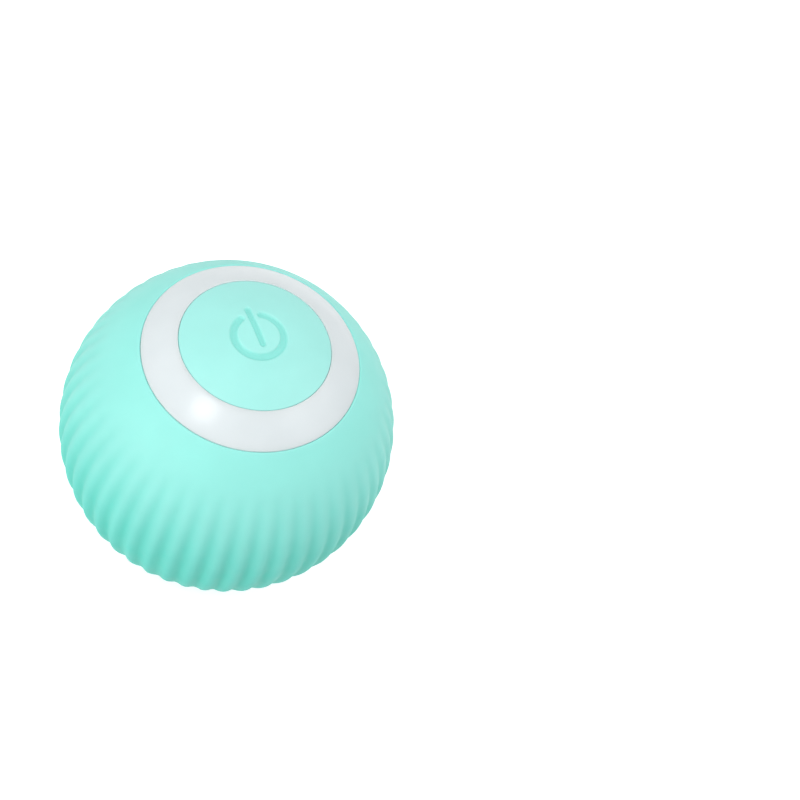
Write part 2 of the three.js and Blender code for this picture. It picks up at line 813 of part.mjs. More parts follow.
/** Charging socket under the board: a rounded metal shell, open at its mouth, and its tongue. */
function chargingSocket() {
  const round = socketHeight / 3;
  const middle = boardBottom - seatGap - socketHeight / 2;
  const backX = socketMouthX - socketDepth;
  const body = roundedBar(socketWidth, socketHeight, round, socketDepth);
  const hollow = roundedBar(
    socketWidth - 2 * socketWall, socketHeight - 2 * socketWall, round - socketWall, socketDepth);
  hollow.translate(socketWall, 0, 0);
  const tongueBackX = backX + socketWall + seatGap;
  const tongue = block(
    [tongueBackX, -tongueWidth / 2, middle - tongueHeight / 2],
    [tongueBackX + tongueDepth, tongueWidth / 2, middle + tongueHeight / 2],
  );
  return [
    piece('usb_shell', cut(body, hollow), finishes.steel(), [backX, 0, middle]),
    piece('usb_tongue', tongue, finishes.blackPlastic()),
  ];
}

/** Flat cell with rounded edges, and the foam pad that holds it to the board. */
function battery() {
  const cell = roundedBar(batteryWidth, batteryHeight, batteryRound, batteryLength);
  const middle = (batteryTop + batteryBottom) / 2;
  const half = batteryWidth / 2 - padMargin;
  const pad = block(
    [batteryBackX + padMargin, -half, batteryTop + seatGap],
    [batteryFrontX - padMargin, half, boardBottom - seatGap],
  );
  return [
    piece('battery', cell, finishes.cell(), [batteryBackX, 0, middle]),
    piece('foam_pad', pad, finishes.foam()),
  ];
}

/** Tube along a curve, round and closed at both ends. */
function lead(name, curve, material) {
  const section = new THREE.Shape(circlePath(leadRadius, 0, 0, leadSides).getPoints().reverse());
  const tube = new THREE.ExtrudeGeometry(section, { steps: leadSteps, extrudePath: curve });
  return piece(name, tube, material);
}

/** Two wires from the battery's end to the board, and two from the motor's terminals. */
function leads() {
  const end = (pad, side) => new THREE.Vector3(
    -sphereHeight(leadPadRadius, pad), side * pad, boardBottom - seatGap);
  const batteryMiddle = (batteryTop + batteryBottom) / 2;
  const wires = [];
  [1, -1].forEach((side, i) => {
    const wireFinish = side > 0 ? finishes.redWire : finishes.blackWire;
    const cellStart = new THREE.Vector3(batteryBackX - seatGap, side * batteryLeadPad, batteryMiddle);
    const cellEnd = end(batteryLeadPad, side);
    const cellBulge = new THREE.Vector3(-leadBulge, 0, 0);
    const cellDrop = new THREE.Vector3(-leadBulge / 2, 0, -leadDrop / 2);
    wires.push(lead(`battery_lead_${i + 1}`, new THREE.CubicBezierCurve3(
      cellStart, cellStart.clone().add(cellBulge), cellEnd.clone().add(cellDrop), cellEnd,
    ), wireFinish()));
    const motorStart = new THREE.Vector3(endCapBackX - seatGap - terminalLength / 2,
      side * terminalPlace, axisHeight + terminalThickness / 2 + seatGap);
    const motorEnd = end(motorLeadPad, side);
    const motorBulge = new THREE.Vector3(0, 0, leadRun);
    const motorDrop = new THREE.Vector3(-leadBulge, 0, -leadDrop);
    wires.push(lead(`motor_lead_${i + 1}`, new THREE.CubicBezierCurve3(
      motorStart, motorStart.clone().add(motorBulge), motorEnd.clone().add(motorDrop), motorEnd,
    ), wireFinish()));
  });
  return wires;
}

/** Outline of a gear with involute teeth, one tooth centred on the given angle. */
function gearOutline(teeth, toothAngle, flankSteps) {
  const pitch = (gearModule * teeth) / 2;
  const base = pitch * Math.cos(pressureAngle * radians);
  const tip = pitch + addendumShare * gearModule;
  const root = pitch - dedendumShare * gearModule;
  const start = Math.max(base, root);
  const involute = (radius) => {
    const ratio = Math.max(radius / base, 1);
    return Math.sqrt(ratio ** 2 - 1) - Math.acos(1 / ratio);
  };
  const halfAtPitch = (Math.PI / 2 - toothBacklash / gearModule) / teeth;
  const halfAt = (radius) => halfAtPitch + involute(pitch) - involute(radius);
  const flank = Array.from({ length: flankSteps + 1 },
    (_, i) => start + ((tip - start) * i) / flankSteps);
  if (base > root) flank.unshift(root);
  const points = [];
  for (let tooth = 0; tooth < teeth; tooth += 1) {
    const middle = toothAngle + (2 * Math.PI * tooth) / teeth;
    const side = (sign, radius) => {
      const angle = middle + sign * halfAt(radius);
      return new THREE.Vector2(radius * Math.cos(angle), radius * Math.sin(angle));
    };
    points.push(...flank.map((radius) => side(-1, radius)));
    points.push(...flank.toReversed().map((radius) => side(1, radius)));
  }
  return new THREE.Shape(points);
}

/** Gear along X with a round bore, one tooth centred on the given angle from +Y towards +Z. */
function gear(teeth, toothAngle, bore, from, to) {
  const outline = gearOutline(teeth, toothAngle, teeth < wheelTeeth ? 2 : 1);
  outline.holes.push(circlePath(bore));
  return layAlongX(extrude(outline, to - from)).translate(from, 0, 0);
}

const up = Math.PI / 2;
const down = -Math.PI / 2;
const wheelHalfPitch = Math.PI / wheelTeeth;

/** Motor with its nose, end cap, terminals, turning shaft and pinion. */
function motor() {
  const edge = motorRadius - motorEdge;
  const nose = motorFrontX + gearboxPlate / 2;
  const can = layAlongX(revolve([
    [0, motorBackX],
    [motorRadius, motorBackX],
    [motorRadius, motorFrontX - motorEdge],
    [edge, motorFrontX],
    [motorNose, motorFrontX],
    [motorNose, nose],
    [0, nose],
  ], motorFacets));
  const shaftBackX = motorFrontX - motorShaftSink;
  const bore = barAlongX(motorShaftRadius + runGap, shaftBackX - seatGap, nose + cutOverrun);
  const tabFrontX = endCapBackX - seatGap;
  const tabHalf = terminalWidth / 2;
  const terminals = [1, -1].map((side, i) => piece(`motor_terminal_${i + 1}`, block(
    [tabFrontX - terminalLength, side * terminalPlace - tabHalf, -terminalThickness / 2],
    [tabFrontX, side * terminalPlace + tabHalf, terminalThickness / 2],
  ), finishes.brass()));
  const pinionBore = motorShaftRadius + runGap / 2;
  return [
    piece('motor_can', cut(can, bore), finishes.steel()),
    piece('motor_end_cap', barAlongX(endCapRadius, endCapBackX, motorBackX - seatGap, motorFacets),
      finishes.whitePlastic()),
    ...terminals,
    piece('motor_shaft', barAlongX(motorShaftRadius, shaftBackX, stageOneFrontX), finishes.steel()),
    piece('motor_pinion', gear(pinionTeeth, down, pinionBore, stageOneBackX, stageOneFrontX),
      finishes.brass()),
  ];
}

/** Outline round both gear axes, in Y and Z. */
function gearboxOutline(radius) {
  const outline = new THREE.Shape();
  outline.absarc(0, 0, radius, 0, Math.PI, false);
  outline.absarc(0, -centreDistance, radius, Math.PI, 2 * Math.PI, false);
  return outline;
}

/** Prism of a gearbox outline along X. */
function gearboxPrism(radius, from, to) {
  return layAlongX(extrude(gearboxOutline(radius), to - from, gearboxSteps)).translate(from, 0, 0);
}

function coverBoss(side, from, to, radius) {
  return barAlongX(radius, from, to).translate(0, side * coverBossReach, -centreDistance / 2);
}

/** Cup that carries the gears, with screw bosses for its cover and two ears on the shell's posts. */
function gearboxHousing() {
  const frontX = coverBackX - seatGap;
  const ears = [1, -1].map((side) => {
    const low = earTop - earThickness;
    const pad = cylinder(earRadius, low, earTop, middleFacets).translate(earX, side * earReach, 0);
    const [near, far] = [side * (gearboxRadius - gearboxWall / 2), side * earReach];
    const arm = block(
      [housingBackX, Math.min(near, far), low],
      [earX + earRadius, Math.max(near, far), earTop],
    );
    return join(pad, arm);
  });
  const bosses = [1, -1].map((side) => coverBoss(side, housingBackX, frontX, coverBossRadius));
  const whole = join(gearboxPrism(gearboxRadius, housingBackX, frontX), ...ears, ...bosses);
  const cuts = [
    gearboxPrism(gearboxRadius - gearboxWall, housingFloorX, frontX + cutOverrun),
    barAlongX(motorNose + runGap, housingBackX - cutOverrun, housingFloorX + cutOverrun, middleFacets),
    barAlongX(pinRadius + runGap, housingBackX + gearboxPlate / 3, housingFloorX + cutOverrun)
      .translate(0, 0, -centreDistance),
    ...[1, -1].map((side) => coverBoss(side, frontX - screwBite, frontX + cutOverrun, smallShank + runGap)),
    ...[1, -1].map((side) =>
      cylinder(screwShank + slotGap, earTop - earThickness - cutOverrun, earTop + cutOverrun, screwFacets)
        .translate(earX, side * earReach, 0)),
  ];
  return piece('gearbox_housing', cut(whole, ...cuts), finishes.whitePlastic());
}

/** Plate that closes the gearbox, with the seat of the output bush and of the lay pin. */
function gearboxCover() {
  const whole = join(
    gearboxPrism(gearboxRadius, coverBackX, gearboxFrontX),
    ...[1, -1].map((side) => coverBoss(side, coverBackX, gearboxFrontX, coverBossRadius)),
  );
  const cuts = [
    barAlongX(bushRadius + runGap, coverBackX - cutOverrun, gearboxFrontX + cutOverrun, middleFacets),
    barAlongX(pinRadius + runGap, coverBackX - cutOverrun, gearboxFrontX - coverPlate / 3)
      .translate(0, 0, -centreDistance),
    ...[1, -1].map((side) =>
      coverBoss(side, coverBackX - cutOverrun, gearboxFrontX + cutOverrun, smallShank + runGap)),
  ];
  return piece('gearbox_cover', cut(whole, ...cuts), finishes.whitePlastic());
}

/** Screws of the gearbox: two through its cover, two through its ears into the shell's posts. */
function gearboxScrews() {
  const coverScrews = [1, -1].map((side, i) => placed(
    screw(`cover_screw_${i + 1}`, smallHead, smallHeadHeight, smallShank, coverPlate + screwBite / 2),
    [gearboxFrontX + seatGap, side * coverBossReach, -centreDistance / 2], [0, Math.PI / 2, 0]));
  const earScrews = [1, -1].map((side, i) => placed(
    screw(`gearbox_screw_${i + 1}`, screwHead, screwHeadHeight, screwShank, earThickness + screwBite / 2),
    [earX, side * earReach, earTop + seatGap]));
  return [...coverScrews, ...earScrews];
}

/** Pin in the gearbox and the compound gear that turns on it. */
function laySet() {
  const bore = pinRadius + runGap;
  const wheel = gear(wheelTeeth, up + wheelHalfPitch, bore, stageOneBackX, stageOneFrontX);
  const neck = gear(pinionTeeth, up, bore, stageOneFrontX - seatGap, stageTwoFrontX);
  const pin = barAlongX(pinRadius, housingBackX + gearboxPlate / 3 + seatGap,
    gearboxFrontX - coverPlate / 3 - seatGap);
  return [
    piece('lay_gear', join(wheel, neck), finishes.whitePlastic(), [0, 0, -centreDistance]),
    piece('lay_pin', pin, finishes.steel(), [0, 0, -centreDistance]),
  ];
}

/** Output gear, its shaft with a tapped end, and the bush that the shaft turns in. */
function outputSet() {
  const frontX = weightFrontX - seatGap;
  const shaft = barAlongX(outputRadius, stageTwoBackX, frontX, middleFacets);
  const tapped = barAlongX(smallShank + runGap, frontX - weightScrewLength - seatGap, frontX + cutOverrun);
  const bush = barAlongX(bushRadius, coverBackX, gearboxFrontX + bushRise, middleFacets);
  const bushBore = barAlongX(outputRadius + runGap, coverBackX - cutOverrun, weightBackX, middleFacets);
  return [
    piece('output_gear', gear(wheelTeeth, down + wheelHalfPitch, outputRadius + runGap, stageTwoBackX,
      stageTwoFrontX), finishes.whitePlastic()),
    piece('output_shaft', cut(shaft, tapped), finishes.steel()),
    piece('output_bush', cut(bush, bushBore), finishes.brass()),
  ];
}

/** Half disc of steel with a hub on the output shaft, hanging down at rest, and its end screw. */
function weightSet() {
  const half = new THREE.Shape();
  half.absarc(0, 0, weightRadius, Math.PI, 2 * Math.PI, false);
  const disc = layAlongX(extrude(half, weightThickness, weightSteps)).translate(weightBackX, 0, 0);
  const hub = barAlongX(weightHubRadius, weightBackX, weightFrontX, middleFacets);
  const bore = barAlongX(outputRadius + runGap / 2, weightBackX - cutOverrun,
    weightFrontX + cutOverrun, middleFacets);
  return [
    piece('eccentric_weight', cut(join(disc, hub), bore), finishes.steel()),
    placed(screw('weight_screw', weightScrewHead, smallHeadHeight, smallShank, weightScrewLength),
      [weightFrontX + seatGap, 0, 0], [0, Math.PI / 2, 0]),
  ];
}

/** Everything on the motor's axis, in a group at its height. */
function drive() {
  const group = new THREE.Group();
  group.position.set(0, 0, axisHeight);
  group.add(...motor(), gearboxHousing(), gearboxCover(), ...gearboxScrews());
  group.add(...laySet(), ...outputSet(), ...weightSet());
  return group;
}

/** The whole ball, with its centre above the origin. */
function ball() {
  const group = new THREE.Group();
  group.position.set(0, 0, centreHeight);
  group.add(sleeve(), lightRing(), buttonCap(), upperShell(), lowerShell(), ...shellScrews());
  group.add(circuitBoard(), ...boardScrews(), switchBody(), switchPlunger(), ...lamps(), ...boardPieces());
  group.add(...chargingSocket(), ...battery(), ...leads(), drive());
  return group;
}

const model = new THREE.Group();
model.add(ball());

export default model;
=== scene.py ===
"""Self rolling cat ball: a soft ribbed sleeve, a light ring, a push button and the works inside."""

import json
import math

import bpy
from bpy.props import FloatProperty, FloatVectorProperty, IntProperty, PointerProperty
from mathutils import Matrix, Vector


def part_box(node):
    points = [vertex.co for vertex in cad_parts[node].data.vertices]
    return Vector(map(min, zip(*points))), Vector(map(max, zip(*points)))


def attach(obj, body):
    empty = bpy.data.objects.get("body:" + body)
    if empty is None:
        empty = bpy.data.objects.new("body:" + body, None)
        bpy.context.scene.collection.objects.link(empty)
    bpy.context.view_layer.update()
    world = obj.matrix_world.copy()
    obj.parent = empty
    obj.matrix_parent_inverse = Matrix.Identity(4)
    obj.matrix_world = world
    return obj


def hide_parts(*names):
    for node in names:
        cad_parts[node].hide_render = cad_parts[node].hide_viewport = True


bl_info = {
    "name": "Self Rolling Cat Ball",
    "version": (1, 0, 0),
    "blender": (4, 5, 0),
    "location": "3D View > Sidebar > Cat Ball",
    "description": "Models the soft ribbed sleeve, light ring, button and works of a self rolling cat ball",
    "category": "Add Mesh",
}

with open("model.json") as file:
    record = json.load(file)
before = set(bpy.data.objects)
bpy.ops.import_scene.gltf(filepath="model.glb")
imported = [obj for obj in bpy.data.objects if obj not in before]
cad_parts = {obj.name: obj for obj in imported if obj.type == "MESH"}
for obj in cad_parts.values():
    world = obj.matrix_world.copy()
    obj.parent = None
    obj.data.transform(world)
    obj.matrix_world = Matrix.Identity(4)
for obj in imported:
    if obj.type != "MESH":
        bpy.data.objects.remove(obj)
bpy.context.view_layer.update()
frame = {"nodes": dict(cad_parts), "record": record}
BODIES = frame["record"]["behaviour"]["bodies"]
BODY_OF_NODE = {node: body for body, nodes in BODIES.items() for node in nodes}
SLOT_OF_NODE = {row["node"]: row["material_slot"] for row in frame["record"]["subparts"]}

# The ball's own measures, all but the first two from the solids
REST_RADIUS = 0.0026  # radius of the small flat that the ball rests on
FACET_LOSS = 0.00002  # how far the solids' flat facets lie inside the round ball
SOLID_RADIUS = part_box("sleeve")[1].x
CENTRE = Vector((0, 0, math.sqrt(SOLID_RADIUS**2 - REST_RADIUS**2)))
BALL_RADIUS = SOLID_RADIUS - FACET_LOSS
CATCH_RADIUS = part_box("button_cap")[1].x
BUTTON_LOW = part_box("button_cap")[0].z
PLUNGER_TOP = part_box("switch_plunger")[1].z
FLANGE_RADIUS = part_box("light_ring")[1].x

# Directions, and a whole turn
UP, DOWN = Vector((0, 0, 1)), Vector((0, 0, -1))
FORWARD, BACK = Vector((1, 0, 0)), Vector((-1, 0, 0))
TURN = 2 * math.pi

# Limits for meshes
MERGE_REACH = 1e-7  # corners closer than this are one corner
FLAT_ANGLE = math.radians(1)  # faces that meet at less than this are one flat face
FACING = 0.99  # cosine past which a face looks in a direction

# Steps of the profiles' arcs
EDGE_STEPS = 5
DOME_STEPS = 12
ROOF_STEPS = 6

# Values that the materials share
GRAIN_DETAIL = 2.0
PATTERN_MIDDLE = (0.3, 0.7)  # where most of a noise's values lie
WHITE = (1, 1, 1, 1)


def length(name, description, default):
    """A length in metres that a user may change."""
    return FloatProperty(name=name, description=description, default=default, min=0, unit="LENGTH",
                         subtype="DISTANCE", precision=5)


def angle(name, description, degrees):
    """An angle that a user may change."""
    return FloatProperty(name=name, description=description, default=math.radians(degrees), unit="ROTATION",
                         subtype="ANGLE")


def number(name, description, default):
    """A plain number that a user may change."""
    return FloatProperty(name=name, description=description, default=default, min=0)


def power(name, description, default):
    """A lamp's power in watts that a user may change."""
    return FloatProperty(name=name, description=description, default=default, min=0, unit="POWER")


def direction(name, description, default):
    """A direction that a user may change."""
    return FloatVectorProperty(name=name, description=description, default=default, size=3,
                               subtype="DIRECTION")


def colour(name, description, default):
    """A colour that a user may change."""
    return FloatVectorProperty(name=name, description=description, default=default, min=0, max=1, size=3,
                               subtype="COLOR")


class SleeveSizes(bpy.types.PropertyGroup):
    """Sizes of the soft outer sleeve"""

    wall: length("Wall", "Thickness of the soft sleeve", 0.002)
    opening: length("Opening Radius", "Radius of the round opening on top", 0.013235)
    lip_round: length("Lip Rounding", "Rounding of the rim of the opening", 0.00016)
    lip_rise: length("Lip Rise", "How far the rim stands proud of the ball", 0.00010)
    lip_band: angle("Lip Band", "Angle over which that rise dies away", 8)
    rib_count: IntProperty(name="Ribs", description="Number of ribs round the ball", default=50, min=3)
    rib_depth: length("Rib Depth", "Depth of the grooves between the ribs", 0.00045)
    rib_top: angle("Ribs Begin", "Angle from the top where the ribs begin", 52)
    rib_full: angle("Ribs Full", "Angle from the top where the ribs are at full depth", 92)
    rib_fade: angle("Ribs Fade", "Angle from the top where the ribs begin to fade", 95)
    rib_end: angle("Ribs End", "Angle from the top where the ribs have died away", 142)
    rib_bow: number("Rib Bow", "How much faster than evenly the grooves deepen at first", 0.25)
    rib_fullness: number("Rib Fullness", "How much wider the ribs are than the valleys between them", 1.1)


class ButtonSizes(bpy.types.PropertyGroup):
    """Sizes of the push button and its sign"""

    radius: length("Radius", "Radius of the button", 0.00914)
    sit: length("Sit", "How far the button's dome lies below the ring's", 0.00012)
    wall: length("Roof", "Thickness of the button's roof", 0.0012)
    skirt_wall: length("Skirt", "Thickness of the button's skirt", 0.001)
    catch_height: length("Catch Height", "Height of the catch flange", 0.0009)
    post_radius: length("Post Radius", "Radius of the post over the switch", 0.0015)
    edge_round: length("Edge Rounding", "Rounding of the upper edge", 0.0001)
    sign_radius: length("Sign Radius", "Radius of the power sign's arc", 0.003)
    sign_stroke: length("Sign Stroke", "Width of the arc's stroke", 0.0008)
    sign_opening: angle("Sign Opening", "Half of the angle at which the arc is open", 25)
    bar_width: length("Bar Width", "Width of the sign's bar", 0.00065)
    bar_top: length("Bar Top", "How far the bar reaches above the sign's middle", 0.0042)
    bar_low: length("Bar Foot", "How far the bar reaches below the sign's middle", 0.00165)
    sign_depth: length("Sign Depth", "Depth of the sign", 0.00028)
    sign_edge: length("Sign Edge", "Width over which the sign's edges sink", 0.00032)


class RingSizes(bpy.types.PropertyGroup):
    """Sizes of the milky light ring"""

    inner: length("Inner Radius", "Inner radius of the ring", 0.00918)
    width: length("Width", "Width of the ring", 0.00404)
    roof: length("Roof", "Thickness of the ring's roof", 0.0013)
    guide_wall: length("Guide Wall", "Thickness of the wall that guides the button", 0.00085)
    guide_depth: length("Guide Depth", "Depth of that wall below the ball's surface", 0.0048)
    skirt_wall: length("Skirt", "Thickness of the outer skirt", 0.0011)
    flange_height: length("Flange Height", "Thickness of the flange on the shell's rim", 0.0007)
    edge_round: length("Edge Rounding", "Rounding of the upper edges", 0.0001)


class ScrewSizes(bpy.types.PropertyGroup):
    """Sizes of the screws"""

    shank: length("Shank", "Radius of the larger screws' threads", 0.0008)
    head_height: length("Head Height", "Height of the larger screws' heads", 0.0008)
    pitch: length("Pitch", "Pitch of the larger screws' threads", 0.0006)
    small_shank: length("Small Shank", "Radius of the smaller screws' threads", 0.0005)
    small_head_height: length("Small Head Height", "Height of the smaller screws' heads", 0.0006)
    small_pitch: length("Small Pitch", "Pitch of the smaller screws' threads", 0.0004)
    recess: length("Recess", "Depth of the cross recess", 0.00035)


class WireSizes(bpy.types.PropertyGroup):
    """Sizes and routes of the wires"""

    radius: length("Radius", "Radius of a wire", 0.0004)
    seat: length("Seat", "Gap between a wire's end and what it is soldered to", 0.00005)
    battery_pad: length("Battery Pad", "Battery wires' distance from the middle", 0.0013)
    motor_pad: length("Motor Pad", "Motor wires' distance from the middle, on the board", 0.0036)
    pad_inset: length("Pad Inset", "How far inside the board's edge the wires end", 0.0007)
    bulge: length("Bulge", "How far the wires bow outwards", 0.0013)
    run: length("Run", "How far the motor's wires keep their first direction", 0.008)
    drop: length("Drop", "How far below the board the motor's wires turn", 0.003)


class WorksSizes(bpy.types.PropertyGroup):
    """Edge roundings and details of the works inside"""

    moulded_edge: length("Moulded Edges", "Rounding of the edges of moulded pieces", 0.00018)
    metal_edge: length("Metal Edges", "Rounding of the edges of metal pieces", 0.0001)
    fine_edge: length("Fine Edges", "Rounding of the edges of small parts and gear teeth", 0.00006)
    pouch_round: length("Pouch Rounding", "Rounding of the battery's pouch", 0.00075)
    terrace: length("Terrace", "Length of the sealed end of the battery's pouch", 0.0013)
    terrace_inset: length("Terrace Step", "How far the sealed end lies inside the pouch", 0.0016)
    leg_reach: length("Leg Reach", "How far a chip's legs stand out from its body", 0.0005)
    leg_width: length("Leg Width", "Width of a chip's leg", 0.00026)
    leg_gauge: length("Leg Gauge", "Thickness of a chip's leg", 0.0001)
    leg_pitch: length("Leg Pitch", "Distance between a chip's legs", 0.0005)
    can_groove: length("Can Groove", "Depth of the groove rolled round the capacitor's can", 0.00012)


class FinishColours(bpy.types.PropertyGroup):
    """Colours of the ball's materials"""

    silicone: colour("Sleeve", "Soft silicone of the sleeve", (0.315, 0.865, 0.78))
    button: colour("Button", "Moulded plastic of the button", (0.37, 0.85, 0.785))
    diffuser: colour("Light Ring", "Milky plastic of the light ring", (0.74, 0.80, 0.82))
    shell_plastic: colour("Half Shells", "Moulded plastic of the half shells", (0.88, 0.88, 0.87))
    white_plastic: colour("Gears", "Slippery plastic of the gears and their housing", (0.84, 0.84, 0.79))
    black_plastic: colour("Chips", "Black moulded plastic", (0.012, 0.012, 0.014))
    board: colour("Board", "Solder mask of the circuit board", (0.012, 0.14, 0.055))
    lamp: colour("Lamps", "Lens and phosphor of the lamps", (0.90, 0.83, 0.52))
    steel: colour("Steel", "Plated steel", (0.56, 0.57, 0.58))
    brass: colour("Brass", "Turned brass", (0.72, 0.52, 0.20))
    cell: colour("Battery", "Foil pouch of the battery", (0.66, 0.68, 0.70))
    foam: colour("Foam", "Foam tape", (0.022, 0.024, 0.026))
    red_wire: colour("Red Wires", "Insulation of the red wires", (0.55, 0.022, 0.018))
    black_wire: colour("Black Wires", "Insulation of the black wires", (0.012, 0.013, 0.015))


class StageSettings(bpy.types.PropertyGroup):
    """Floor, light and camera"""

    floor_size: length("Floor Size", "Width of the floor", 3.0)
    floor_colour: colour("Floor", "Colour that the floor throws back on the ball", (0.25, 0.25, 0.25))
    floor_lift: number("Floor Lift", "How much of the floor's white it gives off by itself", 0.45)
    sky_strength: number("Sky", "Strength of the soft light all round", 0.72)
    lamp_distance: length("Lamp Distance", "Distance of the lamps from the ball", 0.35)
    key_power: power("Key Lamp", "Strength of the small key lamp", 0.20)
    key_size: length("Key Size", "Width of the key lamp", 0.1)
    key_from: direction("Key Direction", "Where the key lamp stands, from the ball", (-0.5, -0.16, 0.85))
    side_power: power("Side Lamp", "Strength of the low side lamp", 0.39)
    side_size: length("Side Size", "Width of the side lamp", 0.3)
    side_from: direction("Side Direction", "Where the side lamp stands, from the ball", (-0.96, -0.14, 0.25))
    fill_power: power("Fill Lamp", "Strength of the lamp from the far side", 0.235)
    fill_size: length("Fill Size", "Width of the fill lamp", 0.3)
    fill_from: direction("Fill Direction", "Where the fill lamp stands, from the ball", (0.58, -0.28, 0.76))
    camera_place: FloatVectorProperty(name="Camera Place", description="Place of the camera from the centre",
                                      default=(-0.051794, -0.072821, 0.145048), size=3, unit="LENGTH",
                                      subtype="TRANSLATION")
    camera_turn: FloatVectorProperty(name="Camera Turn", description="Turn of the camera", size=3,
                                     default=[math.radians(a) for a in (32.342, -15.801, -23.865)],
                                     unit="ROTATION", subtype="EULER")
    camera_lens: FloatProperty(name="Lens", description="Focal length in millimetres", default=58.3, min=1)


def settle(name):
    """The active object under its own name, with its place, turn and scale in its mesh."""
    obj = bpy.context.object
    obj.name = name
    obj.data.name = name
    bpy.ops.object.transform_apply(location=True, rotation=True, scale=True)
    return obj


def pick(obj):
    """Makes one object the only one selected, and the active one."""
    bpy.ops.object.select_all(action="DESELECT")
    obj.select_set(True)
    bpy.context.view_layer.objects.active = obj


def discard(obj):
    """Deletes one object."""
    pick(obj)
    bpy.ops.object.delete()


def twin(name, source):
    """An object with its own copy of another's mesh, picked."""
    obj = bpy.data.objects.new(name, source.data.copy())
    bpy.context.scene.collection.objects.link(obj)
    pick(obj)
    return obj


def modify(obj, kind, **settings):
    """Gives an object a modifier with its settings and applies it."""
    pick(obj)
    bpy.ops.object.modifier_add(type=kind)
    modifier = obj.modifiers[-1]
    for name, value in settings.items():
        setattr(modifier, name, value)
    bpy.ops.object.modifier_apply(modifier=modifier.name)


def spaced(first, last, steps):
    """Evenly spaced values from the first to the last."""
    return [first + (last - first) * i / steps for i in range(steps + 1)]


def on_arc(middle, radius, bearing):
    """A point in the XZ plane on an arc, its bearing measured from +Z towards +X."""
    return middle + radius * Vector((math.sin(bearing), 0, math.cos(bearing)))


def arc(middle, radius, start, end, steps):
    """Points in the XZ plane on an arc from one bearing to another."""
    return [on_arc(middle, radius, bearing) for bearing in spaced(start, end, steps)]


def on_axis(x, z):
    """A profile point at a distance from the ball's upright axis, at a height from its centre."""
    return CENTRE + Vector((x, 0, z))


def sphere_height(radius, distance):
    """Height of a sphere's surface above its centre at a distance from the upright axis."""
    return math.sqrt(radius**2 - distance**2)


def edge_under(dome, rounding, x):
    """Middle of a rounded edge at a distance from the axis, and the bearing where it meets the dome."""
    reach = dome - rounding
    return on_axis(x, sphere_height(reach, x)), math.asin(x / reach)


def drawn(name, points):
    """A line drawn from point to point, all selected and left in edit mode."""
    bpy.ops.object.select_all(action="DESELECT")
    bpy.ops.mesh.primitive_plane_add(size=BALL_RADIUS, location=points[0])
    obj = settle(name)
    bpy.ops.object.mode_set(mode="EDIT")
    bpy.ops.mesh.select_mode(type="VERT")
    bpy.ops.mesh.select_all(action="SELECT")
    bpy.ops.mesh.merge(type="CENTER")
    for before, after in zip(points, points[1:]):
        bpy.ops.mesh.extrude_region_move(TRANSFORM_OT_translate={"value": after - before})
    bpy.ops.mesh.select_all(action="SELECT")
    return obj


def close_up():
    """Merges the doubles of the mesh in edit mode, turns its faces out and leaves edit mode."""
    bpy.ops.mesh.select_all(action="SELECT")
    bpy.ops.mesh.remove_doubles(threshold=MERGE_REACH)
    bpy.ops.mesh.normals_make_consistent(inside=False)
    bpy.ops.object.mode_set(mode="OBJECT")


def spun(name, points, steps, centre=CENTRE):
    """A profile drawn point by point and spun once round an upright axis."""
    obj = drawn(name, points)
    bpy.ops.mesh.remove_doubles(threshold=MERGE_REACH)
    bpy.ops.mesh.spin(steps=steps, angle=TURN, center=centre, axis=UP, use_auto_merge=True)
    close_up()
    return obj


def smooth(obj, degrees=40):
    """Smooth shading that keeps the edges sharper than an angle."""
    pick(obj)
    bpy.ops.object.shade_smooth_by_angle(angle=math.radians(degrees))
    return obj


def sink(obj, depth, weight_at, middle=CENTRE):
    """Sinks a surface along its normals by a depth times the weight at each place, and marks the weights."""
    group = obj.vertex_groups.new(name="sunk")
    weights = [weight_at(vertex.co - middle) for vertex in obj.data.vertices]
    for index, weight in enumerate(weights):
        if weight > 0:
            group.add([index], weight, "REPLACE")
    modify(obj, "DISPLACE", direction="NORMAL", mid_level=0, strength=-depth, vertex_group=group.name)
    obj.vertex_groups.clear()
    mark = obj.data.attributes.new("sunk", "FLOAT", "POINT")
    mark.data.foreach_set("value", weights)


def copied(name, node):
    """A copy of a solid from the frame, with its triangles' corners merged and its flat faces joined."""
    obj = twin(name, frame["nodes"][node])
    obj.data.name = name
    if obj.data.has_custom_normals:
        bpy.ops.mesh.customdata_custom_splitnormals_clear()
    bpy.ops.object.mode_set(mode="EDIT")
    bpy.ops.mesh.select_all(action="SELECT")
    bpy.ops.mesh.remove_doubles(threshold=MERGE_REACH)
    bpy.ops.mesh.dissolve_limited(angle_limit=FLAT_ANGLE)
    bpy.ops.object.mode_set(mode="OBJECT")
    return obj


def rounded(obj, edge, segments=2, degrees=42):
    """Rounds the edges that are sharper than an angle and smooths the rest."""
    modify(obj, "BEVEL", width=edge, segments=segments, limit_method="ANGLE",
           angle_limit=math.radians(degrees))
    smooth(obj, degrees)
    modify(obj, "WEIGHTED_NORMAL", keep_sharp=True)
    return obj


def block(name, low, high):
    """A block between two corners, to be shaped further."""
    bpy.ops.object.select_all(action="DESELECT")
    bpy.ops.mesh.primitive_cube_add(size=1, location=(low + high) / 2, scale=high - low)
    return settle(name)


def choose_faces(obj, side):
    """Selects the faces that look to one side, and nothing else, in edit mode."""
    bpy.ops.object.mode_set(mode="EDIT")
    bpy.ops.mesh.select_mode(type="FACE")
    bpy.ops.mesh.select_all(action="DESELECT")
    bpy.ops.object.mode_set(mode="OBJECT")
    for face in obj.data.polygons:
        face.select = face.normal.dot(side) > FACING
    bpy.ops.object.mode_set(mode="EDIT")


def ease(value):
    """Smooth step from 0 to 1."""
    value = min(max(value, 0), 1)
    return value * value * (3 - 2 * value)


